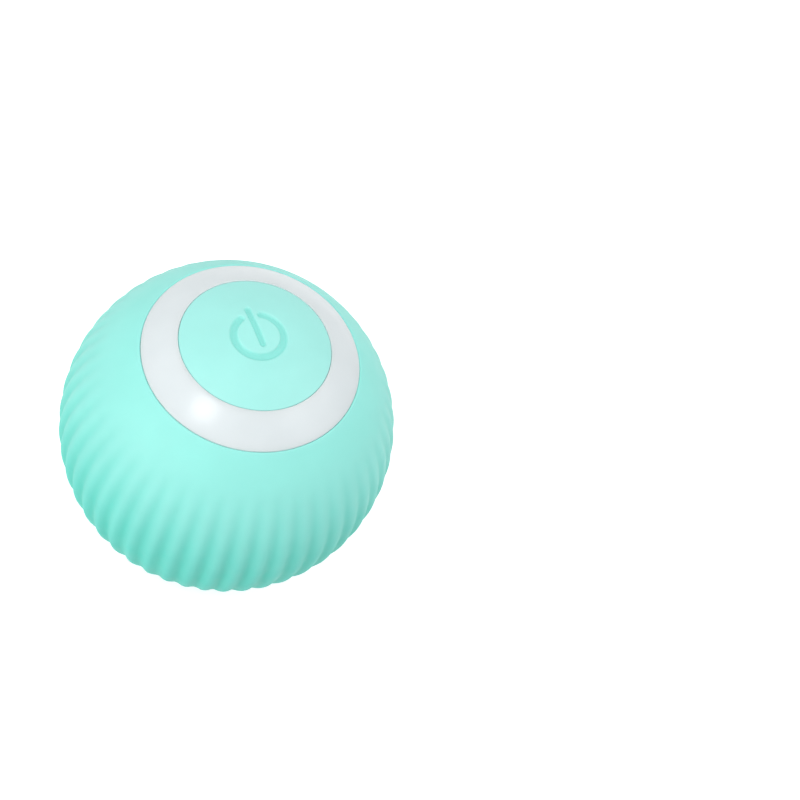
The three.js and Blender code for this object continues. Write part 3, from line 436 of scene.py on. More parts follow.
def numbered(name, count):
    """The names of like pieces that are numbered from 1."""
    return [f"{name}_{i}" for i in range(1, count + 1)]


def fill(tree, node, inputs):
    """Sets each input of a node to its value, or links it where that is another node's output."""
    for name, value in inputs.items():
        if isinstance(value, bpy.types.NodeSocket):
            tree.links.new(value, node.inputs[name])
        else:
            node.inputs[name].default_value = value


def add_node(tree, kind, inputs, **settings):
    """A new node with its settings and its inputs."""
    node = tree.nodes.new(kind)
    for name, value in settings.items():
        setattr(node, name, value)
    fill(tree, node, inputs)
    return node


def shade(base, factor):
    """A colour made darker or lighter, as a socket takes it."""
    return (*(min(channel * factor, 1) for channel in base), 1)


class Finish:
    """A material with a principled shader, built node by node on object coordinates."""

    def __init__(self, name, base, roughness, metallic=0.0):
        self.material = bpy.data.materials.new(name)
        self.material.use_nodes = True
        self.tree = self.material.node_tree
        self.base = base
        self.painted = None
        self.put({"Base Color": (*base, 1), "Roughness": roughness, "Metallic": metallic})
        self.places = self.add("ShaderNodeTexCoord", {}).outputs["Object"]

    def put(self, inputs):
        """Sets or links the shader's own sockets."""
        fill(self.tree, self.tree.nodes["Principled BSDF"], inputs)

    def add(self, kind, inputs, **settings):
        """A new node in this material."""
        return add_node(self.tree, kind, inputs, **settings)

    def noise(self, size, detail=3.0, stretch=(1, 1, 1)):
        """Noise with features of about a size in metres."""
        mapping = self.add("ShaderNodeMapping", {"Vector": self.places, "Scale": stretch})
        inputs = {"Vector": mapping.outputs["Vector"], "Scale": 1 / size, "Detail": detail}
        return self.add("ShaderNodeTexNoise", inputs).outputs["Fac"]

    def cells(self, size, feature="F1", randomness=1.0):
        """Distances in a pattern of cells of about a size in metres."""
        inputs = {"Vector": self.places, "Scale": 1 / size, "Randomness": randomness}
        return self.add("ShaderNodeTexVoronoi", inputs, feature=feature).outputs["Distance"]

    def mark(self, attribute):
        """A mark that the mesh carries at each point, from 0 to 1."""
        return self.add("ShaderNodeAttribute", {}, attribute_name=attribute).outputs["Fac"]

    def ramp(self, source, reach, values, kind="LINEAR"):
        """A pattern between two limits, spread between two values."""
        inputs = {"Value": source, "From Min": reach[0], "From Max": reach[1],
                  "To Min": values[0], "To Max": values[1]}
        return self.add("ShaderNodeMapRange", inputs, interpolation_type=kind).outputs["Result"]

    def descent(self, high, low):
        """0 above one height, running to 1 at a lower height."""
        apart = self.add("ShaderNodeSeparateXYZ", {"Vector": self.places})
        return self.ramp(apart.outputs["Z"], (low, high), (1, 0), "SMOOTHSTEP")

    def step(self, source, edge, width):
        """0 where a pattern is under an edge, 1 where it is over it by a width."""
        return self.ramp(source, (edge, edge + width), (0, 1))

    def mix(self, first, second, amount, kind):
        """Base colour mixed from two colours."""
        inputs = {"A": first, "B": second, "Factor": amount}
        mix = self.add("ShaderNodeMix", inputs, data_type="RGBA", blend_type=kind)
        self.painted = mix.outputs["Result"]
        self.put({"Base Color": self.painted})

    def tint(self, source, darkest, lightest):
        """Base colour that runs between a darker and a lighter shade of itself with a pattern."""
        amount = self.ramp(source, PATTERN_MIDDLE, (0, 1))
        self.mix(shade(self.base, darkest), shade(self.base, lightest), amount, "MIX")

    def deepen(self, amount, factor):
        """Multiplies the tinted colour by a factor, as far as an amount from 0 to 1 says."""
        self.mix(self.painted, (*factor, 1), amount, "MULTIPLY")

    def gloss(self, source, low, high):
        """Roughness that runs between two values with a pattern."""
        self.put({"Roughness": self.ramp(source, PATTERN_MIDDLE, (low, high))})

    def relief(self, source, depth, strength=1.0):
        """Bump from a pattern."""
        bump = self.add("ShaderNodeBump", {"Height": source, "Distance": depth, "Strength": strength})
        self.put({"Normal": bump.outputs["Normal"]})

    def grain(self, size, depth):
        """Bump of a fine even grain."""
        self.relief(self.noise(size, GRAIN_DETAIL), depth)

    def glow_through(self, weight, radius, scale):
        """Light that enters the surface and comes out near by."""
        self.put({"Subsurface Weight": weight, "Subsurface Radius": radius, "Subsurface Scale": scale})


def soft_silicone(colours):
    """Matt soft silicone with a fine grain, with painted shade that deepens its colour towards the bottom,
    so that it reads paler round the opening, and painted shade in the ribs' valleys.
    """
    finish = Finish("soft_silicone", colours.silicone, roughness=0.55)
    finish.tint(finish.noise(size=0.006), darkest=0.98, lightest=1.02)
    # painted shade: the colour deepens towards the bottom of the ball
    painted_shade_below = finish.descent(high=CENTRE.z + 0.013, low=CENTRE.z - 0.007)
    finish.deepen(painted_shade_below, factor=(0.36, 0.96, 0.89))
    # painted shade in the ribs' valleys, along the mark that sink() left
    finish.deepen(finish.mark("sunk"), factor=(0.58, 0.88, 0.85))
    finish.gloss(finish.noise(size=0.002), low=0.50, high=0.60)
    finish.grain(size=0.00025, depth=0.000010)
    finish.glow_through(weight=0.15, radius=(0.6, 1.0, 0.9), scale=0.0012)
    finish.put({"Specular IOR Level": 0.6})
    return finish.material


def button_plastic(colours):
    """Satin moulded plastic with a fine spark grain, with painted shade that darkens the inside of the sign.
    """
    finish = Finish("button_plastic", colours.button, roughness=0.48)
    finish.tint(finish.noise(size=0.005), darkest=0.98, lightest=1.02)
    # painted shade inside the pressed sign, along the mark that sink() left
    finish.deepen(finish.mark("sunk"), factor=(0.72, 0.92, 0.90))
    finish.gloss(finish.noise(size=0.0015), low=0.44, high=0.52)
    finish.grain(size=0.0002, depth=0.000008)
    finish.glow_through(weight=0.10, radius=(0.6, 1.0, 0.9), scale=0.0008)
    finish.put({"Specular IOR Level": 0.6})
    return finish.material


def milky_diffuser(colours):
    """Milky translucent plastic with a soft gloss and a faint mottle."""
    finish = Finish("milky_diffuser", colours.diffuser, roughness=0.24)
    finish.tint(finish.noise(size=0.004), darkest=0.985, lightest=1.015)
    finish.glow_through(weight=0.5, radius=(1.0, 1.0, 1.0), scale=0.0015)
    return finish.material


def moulded(name, base, roughness, grain, milkiness=0.0):
    """Moulded plastic with a faint mottle and the grain of its mould."""
    gloss_swing, width_to_depth = 0.06, 25
    finish = Finish(name, base, roughness)
    finish.tint(finish.noise(size=0.003), darkest=0.96, lightest=1.03)
    finish.gloss(finish.noise(size=0.0012), roughness - gloss_swing, roughness + gloss_swing)
    finish.grain(grain, grain / width_to_depth)
    finish.glow_through(milkiness, radius=(1.0, 1.0, 1.0), scale=0.0004)
    return finish.material


def shell_plastic(colours):
    """White moulded plastic of the half shells, with a fine spark grain."""
    return moulded("shell_plastic", colours.shell_plastic, roughness=0.42, grain=0.00025)


def white_plastic(colours):
    """Smooth, slightly milky plastic of the gears, as slippery nylon has it."""
    return moulded("gear_plastic", colours.white_plastic, roughness=0.34, grain=0.0005, milkiness=0.15)


def black_plastic(colours):
    """Black moulding compound with a matt, sandy grain."""
    return moulded("black_moulding", colours.black_plastic, roughness=0.58, grain=0.00012)


def board(colours):
    """Glossy solder mask over a net of copper tracks that show through a little paler."""
    finish = Finish("solder_mask", colours.board, roughness=0.24)
    finish.tint(finish.noise(size=0.004), darkest=0.92, lightest=1.08)
    net = finish.cells(size=0.0019, feature="DISTANCE_TO_EDGE", randomness=0.55)
    off_tracks = finish.step(net, edge=0.10, width=0.03)
    finish.deepen(off_tracks, factor=(0.55, 0.72, 0.62))
    finish.gloss(finish.noise(size=0.0015), low=0.20, high=0.30)
    finish.relief(off_tracks, depth=0.00003, strength=-1.0)
    return finish.material


def lamp(colours):
    """Clear lens over yellow phosphor."""
    finish = Finish("lamp_lens", colours.lamp, roughness=0.14)
    finish.tint(finish.noise(size=0.0008), darkest=0.9, lightest=1.1)
    finish.glow_through(weight=0.4, radius=(1.0, 0.9, 0.5), scale=0.0004)
    finish.put({"Coat Weight": 0.6, "Coat Roughness": 0.05})
    return finish.material


def metal(name, base, roughness, streaks, depth):
    """Bare metal whose tool marks run as streaks, with a cloudy gloss."""
    gloss_swing = 0.08
    finish = Finish(name, base, roughness, metallic=1.0)
    marks = finish.noise(size=0.0001, detail=GRAIN_DETAIL, stretch=streaks)
    finish.tint(finish.noise(size=0.002), darkest=0.93, lightest=1.05)
    finish.gloss(marks, roughness - gloss_swing, roughness + gloss_swing)
    finish.relief(marks, depth)
    return finish.material


def steel(colours):
    """Plated steel with faint marks round the ball's long shaft."""
    return metal("plated_steel", colours.steel, roughness=0.26, streaks=(0.8, 0.06, 0.06), depth=0.000003)


def brass(colours):
    """Turned brass with fine rings across its axis."""
    return metal("turned_brass", colours.brass, roughness=0.22, streaks=(1.0, 0.04, 0.04), depth=0.000004)


def cell(colours):
    """Aluminium foil pouch with soft creases, with painted shade that darkens their hollows."""
    finish = Finish("foil_pouch", colours.cell, roughness=0.32, metallic=0.9)
    creases = finish.noise(size=0.0022, detail=4.0)
    # painted shade: the tint follows the crease relief, darkest in its hollows
    finish.tint(creases, darkest=0.88, lightest=1.06)
    finish.gloss(finish.noise(size=0.0009), low=0.26, high=0.40)
    finish.relief(creases, depth=0.00012, strength=0.5)
    return finish.material


def foam(colours):
    """Dark foam tape with open pores."""
    finish = Finish("foam_tape", colours.foam, roughness=0.92)
    finish.tint(finish.noise(size=0.001), darkest=0.8, lightest=1.25)
    finish.relief(finish.cells(size=0.00028), depth=0.00006)
    finish.put({"Sheen Weight": 0.2})
    return finish.material


def insulation(name, base):
    """Soft wire insulation with a satin gloss and a fine grain."""
    finish = Finish(name, base, roughness=0.42)
    finish.tint(finish.noise(size=0.0015), darkest=0.92, lightest=1.06)
    finish.gloss(finish.noise(size=0.0006), low=0.36, high=0.50)
    finish.grain(size=0.00015, depth=0.000004)
    return finish.material


def red_wire(colours):
    """Insulation of the red wires."""
    return insulation("red_insulation", colours.red_wire)


def black_wire(colours):
    """Insulation of the black wires."""
    return insulation("black_insulation", colours.black_wire)


INNER_FINISHES = {
    finish.__name__: finish
    for finish in (shell_plastic, white_plastic, black_plastic, board, lamp, steel, brass, cell, foam,
                   red_wire, black_wire)
}
FINISHED = {}


def finish_for(colours, slot):
    """The finish of a material slot of the works, made when it is first asked for."""
    if slot not in FINISHED:
        FINISHED[slot] = INNER_FINISHES[slot](colours)
    return FINISHED[slot]


def hand_over(obj, body, slot, finish, *nodes):
    """Dresses a finished piece and lets it ride on its body in place of the CAD nodes it stands for."""
    obj.data.materials.clear()
    obj.data.materials.append(finish)
    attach(obj, body)
    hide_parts(*nodes)


def stand_in(colours, obj, node):
    """Lets a modelled piece of the works stand for one solid of the frame."""
    slot = SLOT_OF_NODE[node]
    hand_over(obj, BODY_OF_NODE[node], slot, finish_for(colours, slot), node)


def dress(colours, *nodes):
    """Gives solids from the frame, whose shape stays, the finish of their material slots."""
    for node in nodes:
        for place in frame["nodes"][node].material_slots:
            place.material = finish_for(colours, SLOT_OF_NODE[node])


def soften(colours, edge, *nodes):
    """Copies solids from the frame with their edges rounded."""
    for node in nodes:
        stand_in(colours, rounded(copied(f"softened_{node}", node), edge), node)


class CATBALL_OT_sleeve(bpy.types.Operator):
    """Model the soft ribbed sleeve"""

    bl_idname = "catball.sleeve"
    bl_label = "Soft Sleeve"

    def execute(self, context):
        sizes = context.scene.catball_sleeve
        inner_steps, lip_steps, outer_steps, steps_per_rib = 14, 8, 72, 12
        lip_x = sizes.opening + sizes.lip_round
        lip, opening = edge_under(BALL_RADIUS + sizes.lip_rise, sizes.lip_round, lip_x)
        inner = BALL_RADIUS - sizes.wall
        rest_angle = math.pi - math.acos(CENTRE.z / BALL_RADIUS)
        profile = arc(CENTRE, inner, math.pi, math.asin(sizes.opening / inner), inner_steps)
        profile += arc(lip, sizes.lip_round, -math.pi / 2, opening, lip_steps)
        for polar in spaced(opening, rest_angle, outer_steps)[1:]:
            near = max(1 - (polar - opening) / sizes.lip_band, 0)
            profile.append(on_arc(CENTRE, BALL_RADIUS + sizes.lip_rise * near * near, polar))
        profile.append(on_axis(0, -CENTRE.z))
        sleeve = spun("soft_sleeve", profile, sizes.rib_count * steps_per_rib)
        outside = BALL_RADIUS - sizes.wall / 2

        def valley(place):
            """Depth of the ribs' valleys at a place, from 0 to 1."""
            if place.length < outside:
                return 0
            polar = place.angle(UP)
            rise = min(max((polar - sizes.rib_top) / (sizes.rib_full - sizes.rib_top), 0), 1)
            fall = ease((sizes.rib_end - polar) / (sizes.rib_end - sizes.rib_fade))
            across = math.atan2(place.y, place.x) / TURN * sizes.rib_count
            off_crest = 2 * abs(across - round(across))
            hollow = math.sin(math.pi / 2 * off_crest**sizes.rib_fullness) ** 2
            return rise * (1 + sizes.rib_bow - sizes.rib_bow * rise) * fall * hollow

        sink(sleeve, sizes.rib_depth, valley)
        smooth(sleeve, degrees=60)
        hand_over(sleeve, "housing", "silicone", soft_silicone(context.scene.catball_colours), "sleeve")
        return {"FINISHED"}


class CATBALL_OT_light_ring(bpy.types.Operator):
    """Model the milky light ring with its guide wall and flange"""

    bl_idname = "catball.light_ring"
    bl_label = "Light Ring"

    def execute(self, context):
        sizes = context.scene.catball_ring
        around = 192
        outer = sizes.inner + sizes.width
        flange_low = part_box("upper_shell")[1].z - CENTRE.z
        flange_top = flange_low + sizes.flange_height
        roof = BALL_RADIUS - sizes.roof
        channel_in = sizes.inner + sizes.guide_wall
        channel_out = outer - sizes.skirt_wall
        guide_low = sphere_height(BALL_RADIUS, sizes.inner) - sizes.guide_depth
        rounding = sizes.edge_round
        edge_out, slope_out = edge_under(BALL_RADIUS, rounding, outer - rounding)
        edge_in, slope_in = edge_under(BALL_RADIUS, rounding, sizes.inner + rounding)
        profile = [on_axis(channel_out, flange_low), on_axis(FLANGE_RADIUS, flange_low)]
        profile += [on_axis(FLANGE_RADIUS, flange_top), on_axis(outer, flange_top)]
        profile += arc(edge_out, rounding, math.pi / 2, slope_out, EDGE_STEPS)
        profile += arc(CENTRE, BALL_RADIUS, slope_out, slope_in, DOME_STEPS)[1:-1]
        profile += arc(edge_in, rounding, slope_in, -math.pi / 2, EDGE_STEPS)
        profile += [on_axis(sizes.inner, guide_low), on_axis(channel_in, guide_low)]
        profile += arc(CENTRE, roof, math.asin(channel_in / roof), math.asin(channel_out / roof), ROOF_STEPS)
        profile.append(profile[0])
        ring = smooth(spun("milky_light_ring", profile, around), degrees=35)
        hand_over(ring, "housing", "diffuser", milky_diffuser(context.scene.catball_colours), "light_ring")
        return {"FINISHED"}


class CATBALL_OT_button(bpy.types.Operator):
    """Model the domed button and press the power sign into it"""

    bl_idname = "catball.button"
    bl_label = "Button"

    def execute(self, context):
        sizes = context.scene.catball_button
        sign_steps, around = 60, 256
        dome = BALL_RADIUS - sizes.sit
        underside = dome - sizes.wall
        skirt_inner = sizes.radius - sizes.skirt_wall
        low = BUTTON_LOW - CENTRE.z
        catch_top = low + sizes.catch_height
        post_low = PLUNGER_TOP - CENTRE.z
        edge, slope = edge_under(dome, sizes.edge_round, sizes.radius - sizes.edge_round)
        profile = [on_axis(0, post_low), on_axis(sizes.post_radius, post_low)]
        profile += arc(CENTRE, underside, math.asin(sizes.post_radius / underside),
                       math.asin(skirt_inner / underside), ROOF_STEPS)
        profile += [on_axis(skirt_inner, low), on_axis(CATCH_RADIUS, low)]
        profile += [on_axis(CATCH_RADIUS, catch_top), on_axis(sizes.radius, catch_top)]
        profile += arc(edge, sizes.edge_round, math.pi / 2, slope, EDGE_STEPS)
        sign_reach = math.asin((sizes.bar_top + sizes.bar_width) / dome)
        profile += arc(CENTRE, dome, slope, sign_reach, DOME_STEPS)[1:]
        profile += arc(CENTRE, dome, sign_reach, 0, sign_steps)[1:]
        button = spun("domed_button", profile, around)
        sign_top = sphere_height(dome, 2 * sizes.sign_radius)

        def sign(place):
            """Depth of the power sign at a place, from 0 to 1."""
            if place.z < sign_top:
                return 0
            along = math.atan2(place.x, place.y)
            arc_end = max(abs(along), sizes.sign_opening)
            nearest = sizes.sign_radius * Vector((math.copysign(math.sin(arc_end), place.x),
                                                  math.cos(arc_end)))
            from_arc = (place.xy - nearest).length - sizes.sign_stroke / 2
            half = sizes.bar_width / 2
            on_bar = min(max(place.y, -sizes.bar_low + half), sizes.bar_top - half)
            from_bar = (place.xy - Vector((0, on_bar))).length - half
            return ease(0.5 - min(from_arc, from_bar) / sizes.sign_edge)

        sink(button, sizes.sign_depth, sign)
        smooth(button, degrees=35)
        hand_over(button, "button", "button_plastic", button_plastic(context.scene.catball_colours),
                  "button_cap")
        return {"FINISHED"}


class CATBALL_OT_shells(bpy.types.Operator):
    """Round the edges of the hard half shells"""

    bl_idname = "catball.shells"
    bl_label = "Half Shells"

    def execute(self, context):
        scene = context.scene
        soften(scene.catball_colours, scene.catball_works.moulded_edge, "upper_shell", "lower_shell")
        return {"FINISHED"}


class CATBALL_OT_screws(bpy.types.Operator):
    """Model the screws with domed heads, cross recesses and threads"""

    bl_idname = "catball.screws"
    bl_label = "Screws"

    def execute(self, context):
        sizes = context.scene.catball_screws
        large = (sizes.shank, sizes.head_height, sizes.pitch)
        small = (sizes.small_shank, sizes.small_head_height, sizes.small_pitch)
        self.set_in(context, numbered("shell_screw", 4), large, DOWN)
        self.set_in(context, numbered("board_screw", 2), large, UP)
        self.set_in(context, numbered("gearbox_screw", 2), large, UP)
        self.set_in(context, numbered("cover_screw", 2), small, FORWARD)
        self.set_in(context, ["weight_screw"], small, FORWARD)
        return {"FINISHED"}

    def set_in(self, context, nodes, sizes, head_side):
        """Models one screw and puts a copy of it where each of the plain ones stands."""
        head_height = sizes[1]
        low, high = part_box(nodes[0])
        whole = abs((high - low).dot(head_side))
        head = max((high - low) - whole * Vector([abs(part) for part in head_side])) / 2
        model = self.model(sizes, head, whole - head_height, context.scene.catball_screws.recess)
        for node in nodes:
            low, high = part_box(node)
            screw = twin(f"threaded_{node}", model)
            screw.location = (low + high) / 2 + head_side * (whole / 2 - head_height)
            screw.rotation_euler = head_side.to_track_quat("Z", "Y").to_euler()
            stand_in(context.scene.catball_colours, settle(screw.name), node)
        discard(model)

    def model(self, sizes, head, depth, recess):
        """A screw at the origin: head above, its thread cut into the shank by a helix that sinks."""
        shank, head_height, pitch = sizes
        rings_per_turn, around = 6, 24
        seat_share, chamfer_share, rim_share = 0.94, 0.12, 0.25
        dome_angles = (0, 12, 24, 40, 58, 76)
        surface_share, thread_share = 0.9, 0.22
        arm_share, slot_share = 0.62, 0.16
        point = shank / 3
        rings = round((depth - shank) / pitch * rings_per_turn)
        points = [(0, -depth), (point, point - depth)]
        points += [(shank, z) for z in spaced(shank - depth, 0, rings)]
        points += [(head * seat_share, 0), (head, head_height * chamfer_share)]
        points += [(head * math.cos(a), head_height * (rim_share + (1 - rim_share) * math.sin(a)))
                   for a in map(math.radians, dome_angles)]
        points.append((0, head_height))
        origin = Vector((0, 0, 0))
        screw = spun("screw", [Vector((x, 0, z)) for x, z in points], around, origin)

        def groove(place):
            """Depth of the thread's groove at a place, from 0 to 1."""
            if place.z > -pitch / 2 or place.xy.length < shank * surface_share:
                return 0
            turns = place.z / pitch - math.atan2(place.y, place.x) / TURN
            return abs(2 * (turns - math.floor(turns)) - 1)

        sink(screw, shank * thread_share, groove, origin)
        arm, half_slot = head * arm_share, head * slot_share
        for reach in ((arm, half_slot), (half_slot, arm)):
            self.cut(screw, Vector((*reach, recess)), head_height)
        return smooth(screw)

    def cut(self, screw, reach, top):
        """Cuts one slot of the cross recess into the head."""
        bpy.ops.object.select_all(action="DESELECT")
        bpy.ops.mesh.primitive_cube_add(size=2, location=(0, 0, top), scale=reach)
        slot = settle("slot")
        modify(screw, "BOOLEAN", object=slot)
        discard(slot)


class CATBALL_OT_electronics(bpy.types.Operator):
    """Model the chips and capacitor, soften the small parts, and dress the board and the socket's shell"""

    bl_idname = "catball.electronics"
    bl_label = "Electronics"

    def execute(self, context):
        colours = context.scene.catball_colours
        works = context.scene.catball_works
        dress(colours, "circuit_board", "usb_shell")
        soften(colours, works.fine_edge, "switch_body", "switch_plunger", *numbered("led", 4), "usb_tongue")
        soften(colours, works.metal_edge, "vibration_sensor")
        for node, legs_a_side in (("control_chip", 6), ("charge_chip", 4)):
            stand_in(colours, self.chip(works, node, legs_a_side), node)
        stand_in(colours, self.can(works), "capacitor")
        return {"FINISHED"}

    def chip(self, works, node, legs_a_side):
        """A moulded body with a chamfered roof, standing on bent legs along its four sides."""
        gauge, reach = works.leg_gauge, works.leg_reach
        foot_share, knee_share, root_share = 0.5, 0.65, 1.1  # of the reach, inwards from a leg's end
        waist = gauge * 4  # height at which the legs enter the body
        low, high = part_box(node)
        middle = (low + high) / 2
        inset = Vector((reach, reach, 0))
        body = block(f"legged_{node}", low + inset + UP * gauge, high - inset)
        choose_faces(body, UP)
        bpy.ops.mesh.inset(thickness=gauge)
        bpy.ops.mesh.inset(thickness=gauge, depth=-gauge / 2)
        bpy.ops.object.mode_set(mode="OBJECT")
        rounded(body, works.fine_edge)
        side = high.x - middle.x
        bends = ((0, 0), (foot_share, 0), (knee_share, waist), (root_share, waist))
        path = [Vector((side - reach * inwards, 0, rise)) for inwards, rise in bends]
        legs = []
        for quarter in range(4):
            for i in range(legs_a_side):
                leg = self.leg(works, path, (i - (legs_a_side - 1) / 2) * works.leg_pitch)
                leg.rotation_euler.z = quarter * TURN / 4
                leg.location = (middle.x, middle.y, low.z + gauge / 2)
                legs.append(settle("leg"))
        pick(body)
        for leg in legs:
            leg.select_set(True)
        bpy.ops.object.join()
        return body

    def leg(self, works, path, along):
        """One leg: a strip drawn along its bends and given its gauge."""
        start = Vector((0, along - works.leg_width / 2, 0))
        leg = drawn("leg", [point + start for point in path])
        bpy.ops.mesh.extrude_region_move(TRANSFORM_OT_translate={"value": (0, works.leg_width, 0)})
        bpy.ops.object.mode_set(mode="OBJECT")
        modify(leg, "SOLIDIFY", thickness=works.leg_gauge, offset=0)
        return smooth(leg, degrees=30)

    def can(self, works):
        """A drawn can with a rolled groove above its foot and a rounded shoulder."""
        around, shoulder_share = 48, 0.2
        belt_shares = (0.2, 0.26, 0.3, 0.36)  # heights where the groove starts, runs deep and ends
        roof_share, dish_share = 2, 2.3  # of the shoulder's rounding, in from the can's side
        low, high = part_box("capacitor")
        middle = (low + high) / 2
        foot = Vector((middle.x, middle.y, low.z))
        radius, tall, groove = high.x - middle.x, high.z - low.z, works.can_groove
        belt = [tall * share for share in belt_shares]
        shoulder = radius * shoulder_share
        roof_edge, dish_edge = radius - roof_share * shoulder, radius - dish_share * shoulder

        def at(x, z):
            """A profile point at a distance from the can's axis, at a height above its foot."""
            return foot + Vector((x, 0, z))

        profile = [at(0, 0), at(radius - groove, 0), at(radius, groove), at(radius, belt[0])]
        profile += [at(radius - groove, belt[1]), at(radius - groove, belt[2]), at(radius, belt[3])]
        profile += arc(at(radius - shoulder, tall - shoulder), shoulder, math.pi / 2, 0, ROOF_STEPS)
        profile += [at(roof_edge, tall), at(dish_edge, tall - groove / 2), at(0, tall - groove / 2)]
        return smooth(spun("rolled_capacitor", profile, around, foot), degrees=30)


class CATBALL_OT_battery(bpy.types.Operator):
    """Model the battery's foil pouch with its sealed end, and dress its foam pad"""

    bl_idname = "catball.battery"
    bl_label = "Battery"

    def execute(self, context):
        works = context.scene.catball_works
        colours = context.scene.catball_colours
        low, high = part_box("battery")
        pouch = block("foil_pouch", low + FORWARD * works.terrace, high)
        choose_faces(pouch, BACK)
        bpy.ops.mesh.inset(thickness=works.terrace_inset)
        bpy.ops.mesh.extrude_region_move(TRANSFORM_OT_translate={"value": BACK * works.terrace})
        bpy.ops.object.mode_set(mode="OBJECT")
        rounded(pouch, works.pouch_round, segments=4)
        stand_in(colours, pouch, "battery")
        dress(colours, "foam_pad")
        return {"FINISHED"}


class CATBALL_OT_wires(bpy.types.Operator):
    """Lay the wires from the battery and the motor to the board"""

    bl_idname = "catball.wires"
    bl_label = "Wires"

    def execute(self, context):
        sizes = context.scene.catball_wires
        colours = context.scene.catball_colours
        back, down, up = BACK * sizes.bulge, DOWN * sizes.drop, UP * sizes.run
        low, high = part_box("battery")
        for side, paint, index in ((1, "red", 1), (-1, "black", 2)):
            start = Vector((low.x - sizes.seat, side * sizes.battery_pad, (low.z + high.z) / 2))
            end = self.pad(sizes, side * sizes.battery_pad)
            turned = end + (back + down) / 2
            wire = self.wire(sizes, f"{paint}_battery_wire", start, start + back, turned, end)
            stand_in(colours, wire, f"battery_lead_{index}")
            tag_low, tag_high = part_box(f"motor_terminal_{index}")
            start = (tag_low + tag_high) / 2
            start.z = tag_high.z + sizes.seat
            end = self.pad(sizes, side * sizes.motor_pad)
            wire = self.wire(sizes, f"{paint}_motor_wire", start, start + up, end + back + down, end)
            stand_in(colours, wire, f"motor_lead_{index}")
        return {"FINISHED"}

    def pad(self, sizes, along):
        """Place of a solder pad near the board's back edge."""
        low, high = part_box("circuit_board")
        return Vector((-sphere_height(high.x - sizes.pad_inset, along), along, low.z - sizes.seat))

    def wire(self, sizes, name, start, out, back, end):
        """A round wire along one smooth curve, closed at its ends."""
        bpy.ops.object.select_all(action="DESELECT")
        bpy.ops.curve.primitive_bezier_curve_add(location=(0, 0, 0))
        curve = bpy.context.object.data
        first, last = curve.splines[0].bezier_points
        ends = ((first, 2 * start - out, start, out), (last, back, end, 2 * end - back))
        for point, before, place, after in ends:
            point.handle_left_type = point.handle_right_type = "FREE"
            point.co, point.handle_left, point.handle_right = place, before, after
        curve.resolution_u = 32
        curve.bevel_depth = sizes.radius
        curve.bevel_resolution = 5
        curve.use_fill_caps = True
        bpy.ops.object.convert(target="MESH")
        wire = settle(name)
        bpy.ops.object.mode_set(mode="EDIT")
        close_up()
        return smooth(wire)


class CATBALL_OT_drive(bpy.types.Operator):
    """Round the edges of the motor, the gears, their housing and the swinging weight"""

    bl_idname = "catball.drive"
    bl_label = "Motor and Gears"

    def execute(self, context):
        colours = context.scene.catball_colours
        works = context.scene.catball_works
        soften(colours, works.metal_edge, "motor_can", "eccentric_weight")
        soften(colours, works.moulded_edge, "gearbox_housing", "gearbox_cover", "motor_end_cap")
        soften(colours, works.fine_edge, *numbered("motor_terminal", 2), "motor_shaft", "motor_pinion",
               "lay_gear", "lay_pin", "output_gear", "output_shaft", "output_bush")
        return {"FINISHED"}


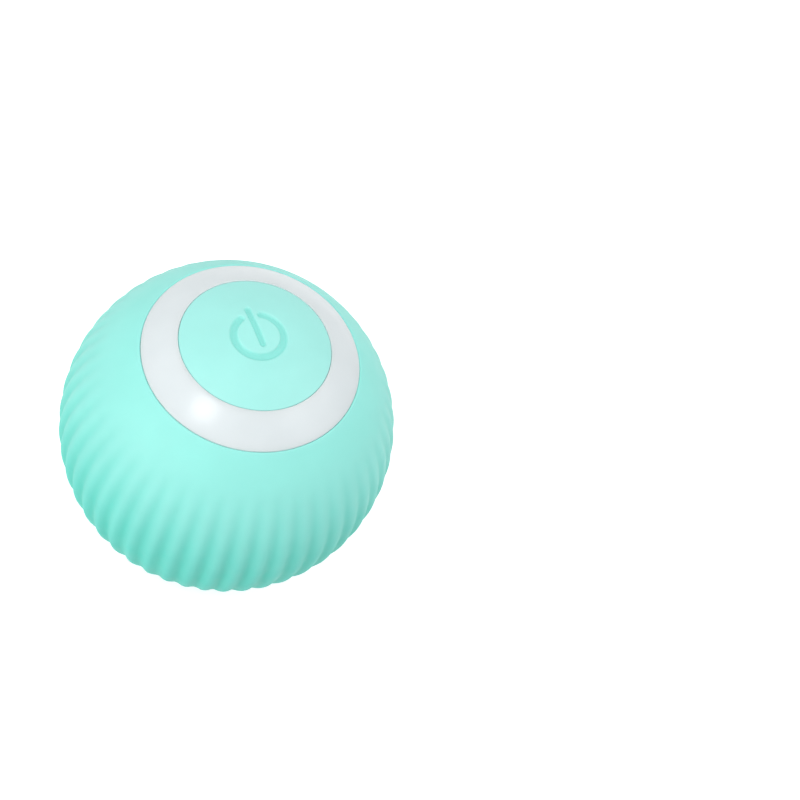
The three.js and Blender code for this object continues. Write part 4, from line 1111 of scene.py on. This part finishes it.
class CATBALL_OT_stage(bpy.types.Operator):
    """Lay the pale floor and set up the light and the camera"""

    bl_idname = "catball.stage"
    bl_label = "Stage"

    def execute(self, context):
        scene = context.scene
        stage = scene.catball_stage
        self.floor(stage)
        self.sky(scene, stage)
        self.lamp("key_lamp", stage.lamp_distance, stage.key_from, stage.key_size, stage.key_power)
        self.lamp("side_lamp", stage.lamp_distance, stage.side_from, stage.side_size, stage.side_power)
        self.lamp("fill_lamp", stage.lamp_distance, stage.fill_from, stage.fill_size, stage.fill_power)
        self.camera(scene, stage)
        scene.view_settings.view_transform = "Standard"
        return {"FINISHED"}

    def white_rays(self, tree):
        """1 where the camera, a gloss or glass looks, 0 for the light that falls on the ball."""
        path = add_node(tree, "ShaderNodeLightPath", {})
        seen = path.outputs["Is Camera Ray"]
        for ray in ("Is Glossy Ray", "Is Transmission Ray"):
            either = add_node(tree, "ShaderNodeMath", {0: seen, 1: path.outputs[ray]}, operation="MAXIMUM")
            seen = either.outputs["Value"]
        return seen

    def floor(self, stage):
        """A wide pale floor that the camera sees as white, with the ball's shadow on it."""
        bpy.ops.object.select_all(action="DESELECT")
        bpy.ops.mesh.primitive_plane_add(size=stage.floor_size, location=(0, 0, 0))
        floor = settle("floor")
        material = bpy.data.materials.new("pale_floor")
        material.use_nodes = True
        tree = material.node_tree
        seen = self.white_rays(tree)
        paint = add_node(tree, "ShaderNodeMix", {"Factor": seen, "A": (*stage.floor_colour, 1), "B": WHITE},
                         data_type="RGBA")
        lift = add_node(tree, "ShaderNodeMath", {0: seen, 1: stage.floor_lift}, operation="MULTIPLY")
        fill(tree, tree.nodes["Principled BSDF"], {
            "Base Color": paint.outputs["Result"],
            "Roughness": 0.9,
            "Specular IOR Level": 0,
            "Emission Color": WHITE,
            "Emission Strength": lift.outputs["Value"],
        })
        floor.data.materials.append(material)

    def sky(self, scene, stage):
        """Even white light all round, plain white where the camera or a mirror sees it."""
        scene.world = bpy.data.worlds.new("soft_sky")
        scene.world.use_nodes = True
        tree = scene.world.node_tree
        inputs = {"Value": self.white_rays(tree), "To Min": stage.sky_strength, "To Max": 1}
        strength = add_node(tree, "ShaderNodeMapRange", inputs)
        fill(tree, tree.nodes["Background"], {"Color": WHITE, "Strength": strength.outputs["Result"]})

    def lamp(self, name, distance, side, size, watts):
        """A soft round lamp that looks at the ball's centre."""
        away = Vector(side).normalized()
        bpy.ops.object.light_add(type="AREA", location=CENTRE + away * distance)
        light = bpy.context.object
        light.name = name
        light.rotation_euler = away.to_track_quat("Z", "Y").to_euler()
        light.data.shape = "DISK"
        light.data.size = size
        light.data.energy = watts

    def camera(self, scene, stage):
        """The photograph's view from above and to the left."""
        bpy.ops.object.camera_add(location=CENTRE + Vector(stage.camera_place), rotation=stage.camera_turn)
        camera = bpy.context.object
        camera.name = "camera"
        camera.data.lens = stage.camera_lens
        camera.data.clip_start = 0.001
        scene.camera = camera


class CATBALL_PT_panel(bpy.types.Panel):
    """Sidebar panel that lists the pieces"""

    bl_idname = "CATBALL_PT_panel"
    bl_label = "Self Rolling Cat Ball"
    bl_space_type = "VIEW_3D"
    bl_region_type = "UI"
    bl_category = "Cat Ball"

    def draw(self, context):
        for operator in PIECE_OPERATORS:
            self.layout.operator(operator.bl_idname)


SETTINGS = {
    "catball_sleeve": SleeveSizes,
    "catball_button": ButtonSizes,
    "catball_ring": RingSizes,
    "catball_screws": ScrewSizes,
    "catball_wires": WireSizes,
    "catball_works": WorksSizes,
    "catball_colours": FinishColours,
    "catball_stage": StageSettings,
}
PIECE_OPERATORS = (
    CATBALL_OT_sleeve,
    CATBALL_OT_light_ring,
    CATBALL_OT_button,
    CATBALL_OT_shells,
    CATBALL_OT_screws,
    CATBALL_OT_electronics,
    CATBALL_OT_battery,
    CATBALL_OT_wires,
    CATBALL_OT_drive,
    CATBALL_OT_stage,
)
CLASSES = (*SETTINGS.values(), *PIECE_OPERATORS, CATBALL_PT_panel)


def register():
    for cls in CLASSES:
        bpy.utils.register_class(cls)
    for name, group in SETTINGS.items():
        setattr(bpy.types.Scene, name, PointerProperty(type=group))


def unregister():
    for name in SETTINGS:
        delattr(bpy.types.Scene, name)
    for cls in reversed(CLASSES):
        bpy.utils.unregister_class(cls)


def main():
    register()
    bpy.ops.catball.sleeve()
    bpy.ops.catball.light_ring()
    bpy.ops.catball.button()
    bpy.ops.catball.shells()
    bpy.ops.catball.screws()
    bpy.ops.catball.electronics()
    bpy.ops.catball.battery()
    bpy.ops.catball.wires()
    bpy.ops.catball.drive()
    bpy.ops.catball.stage()


if __name__ == "__main__":
    main()
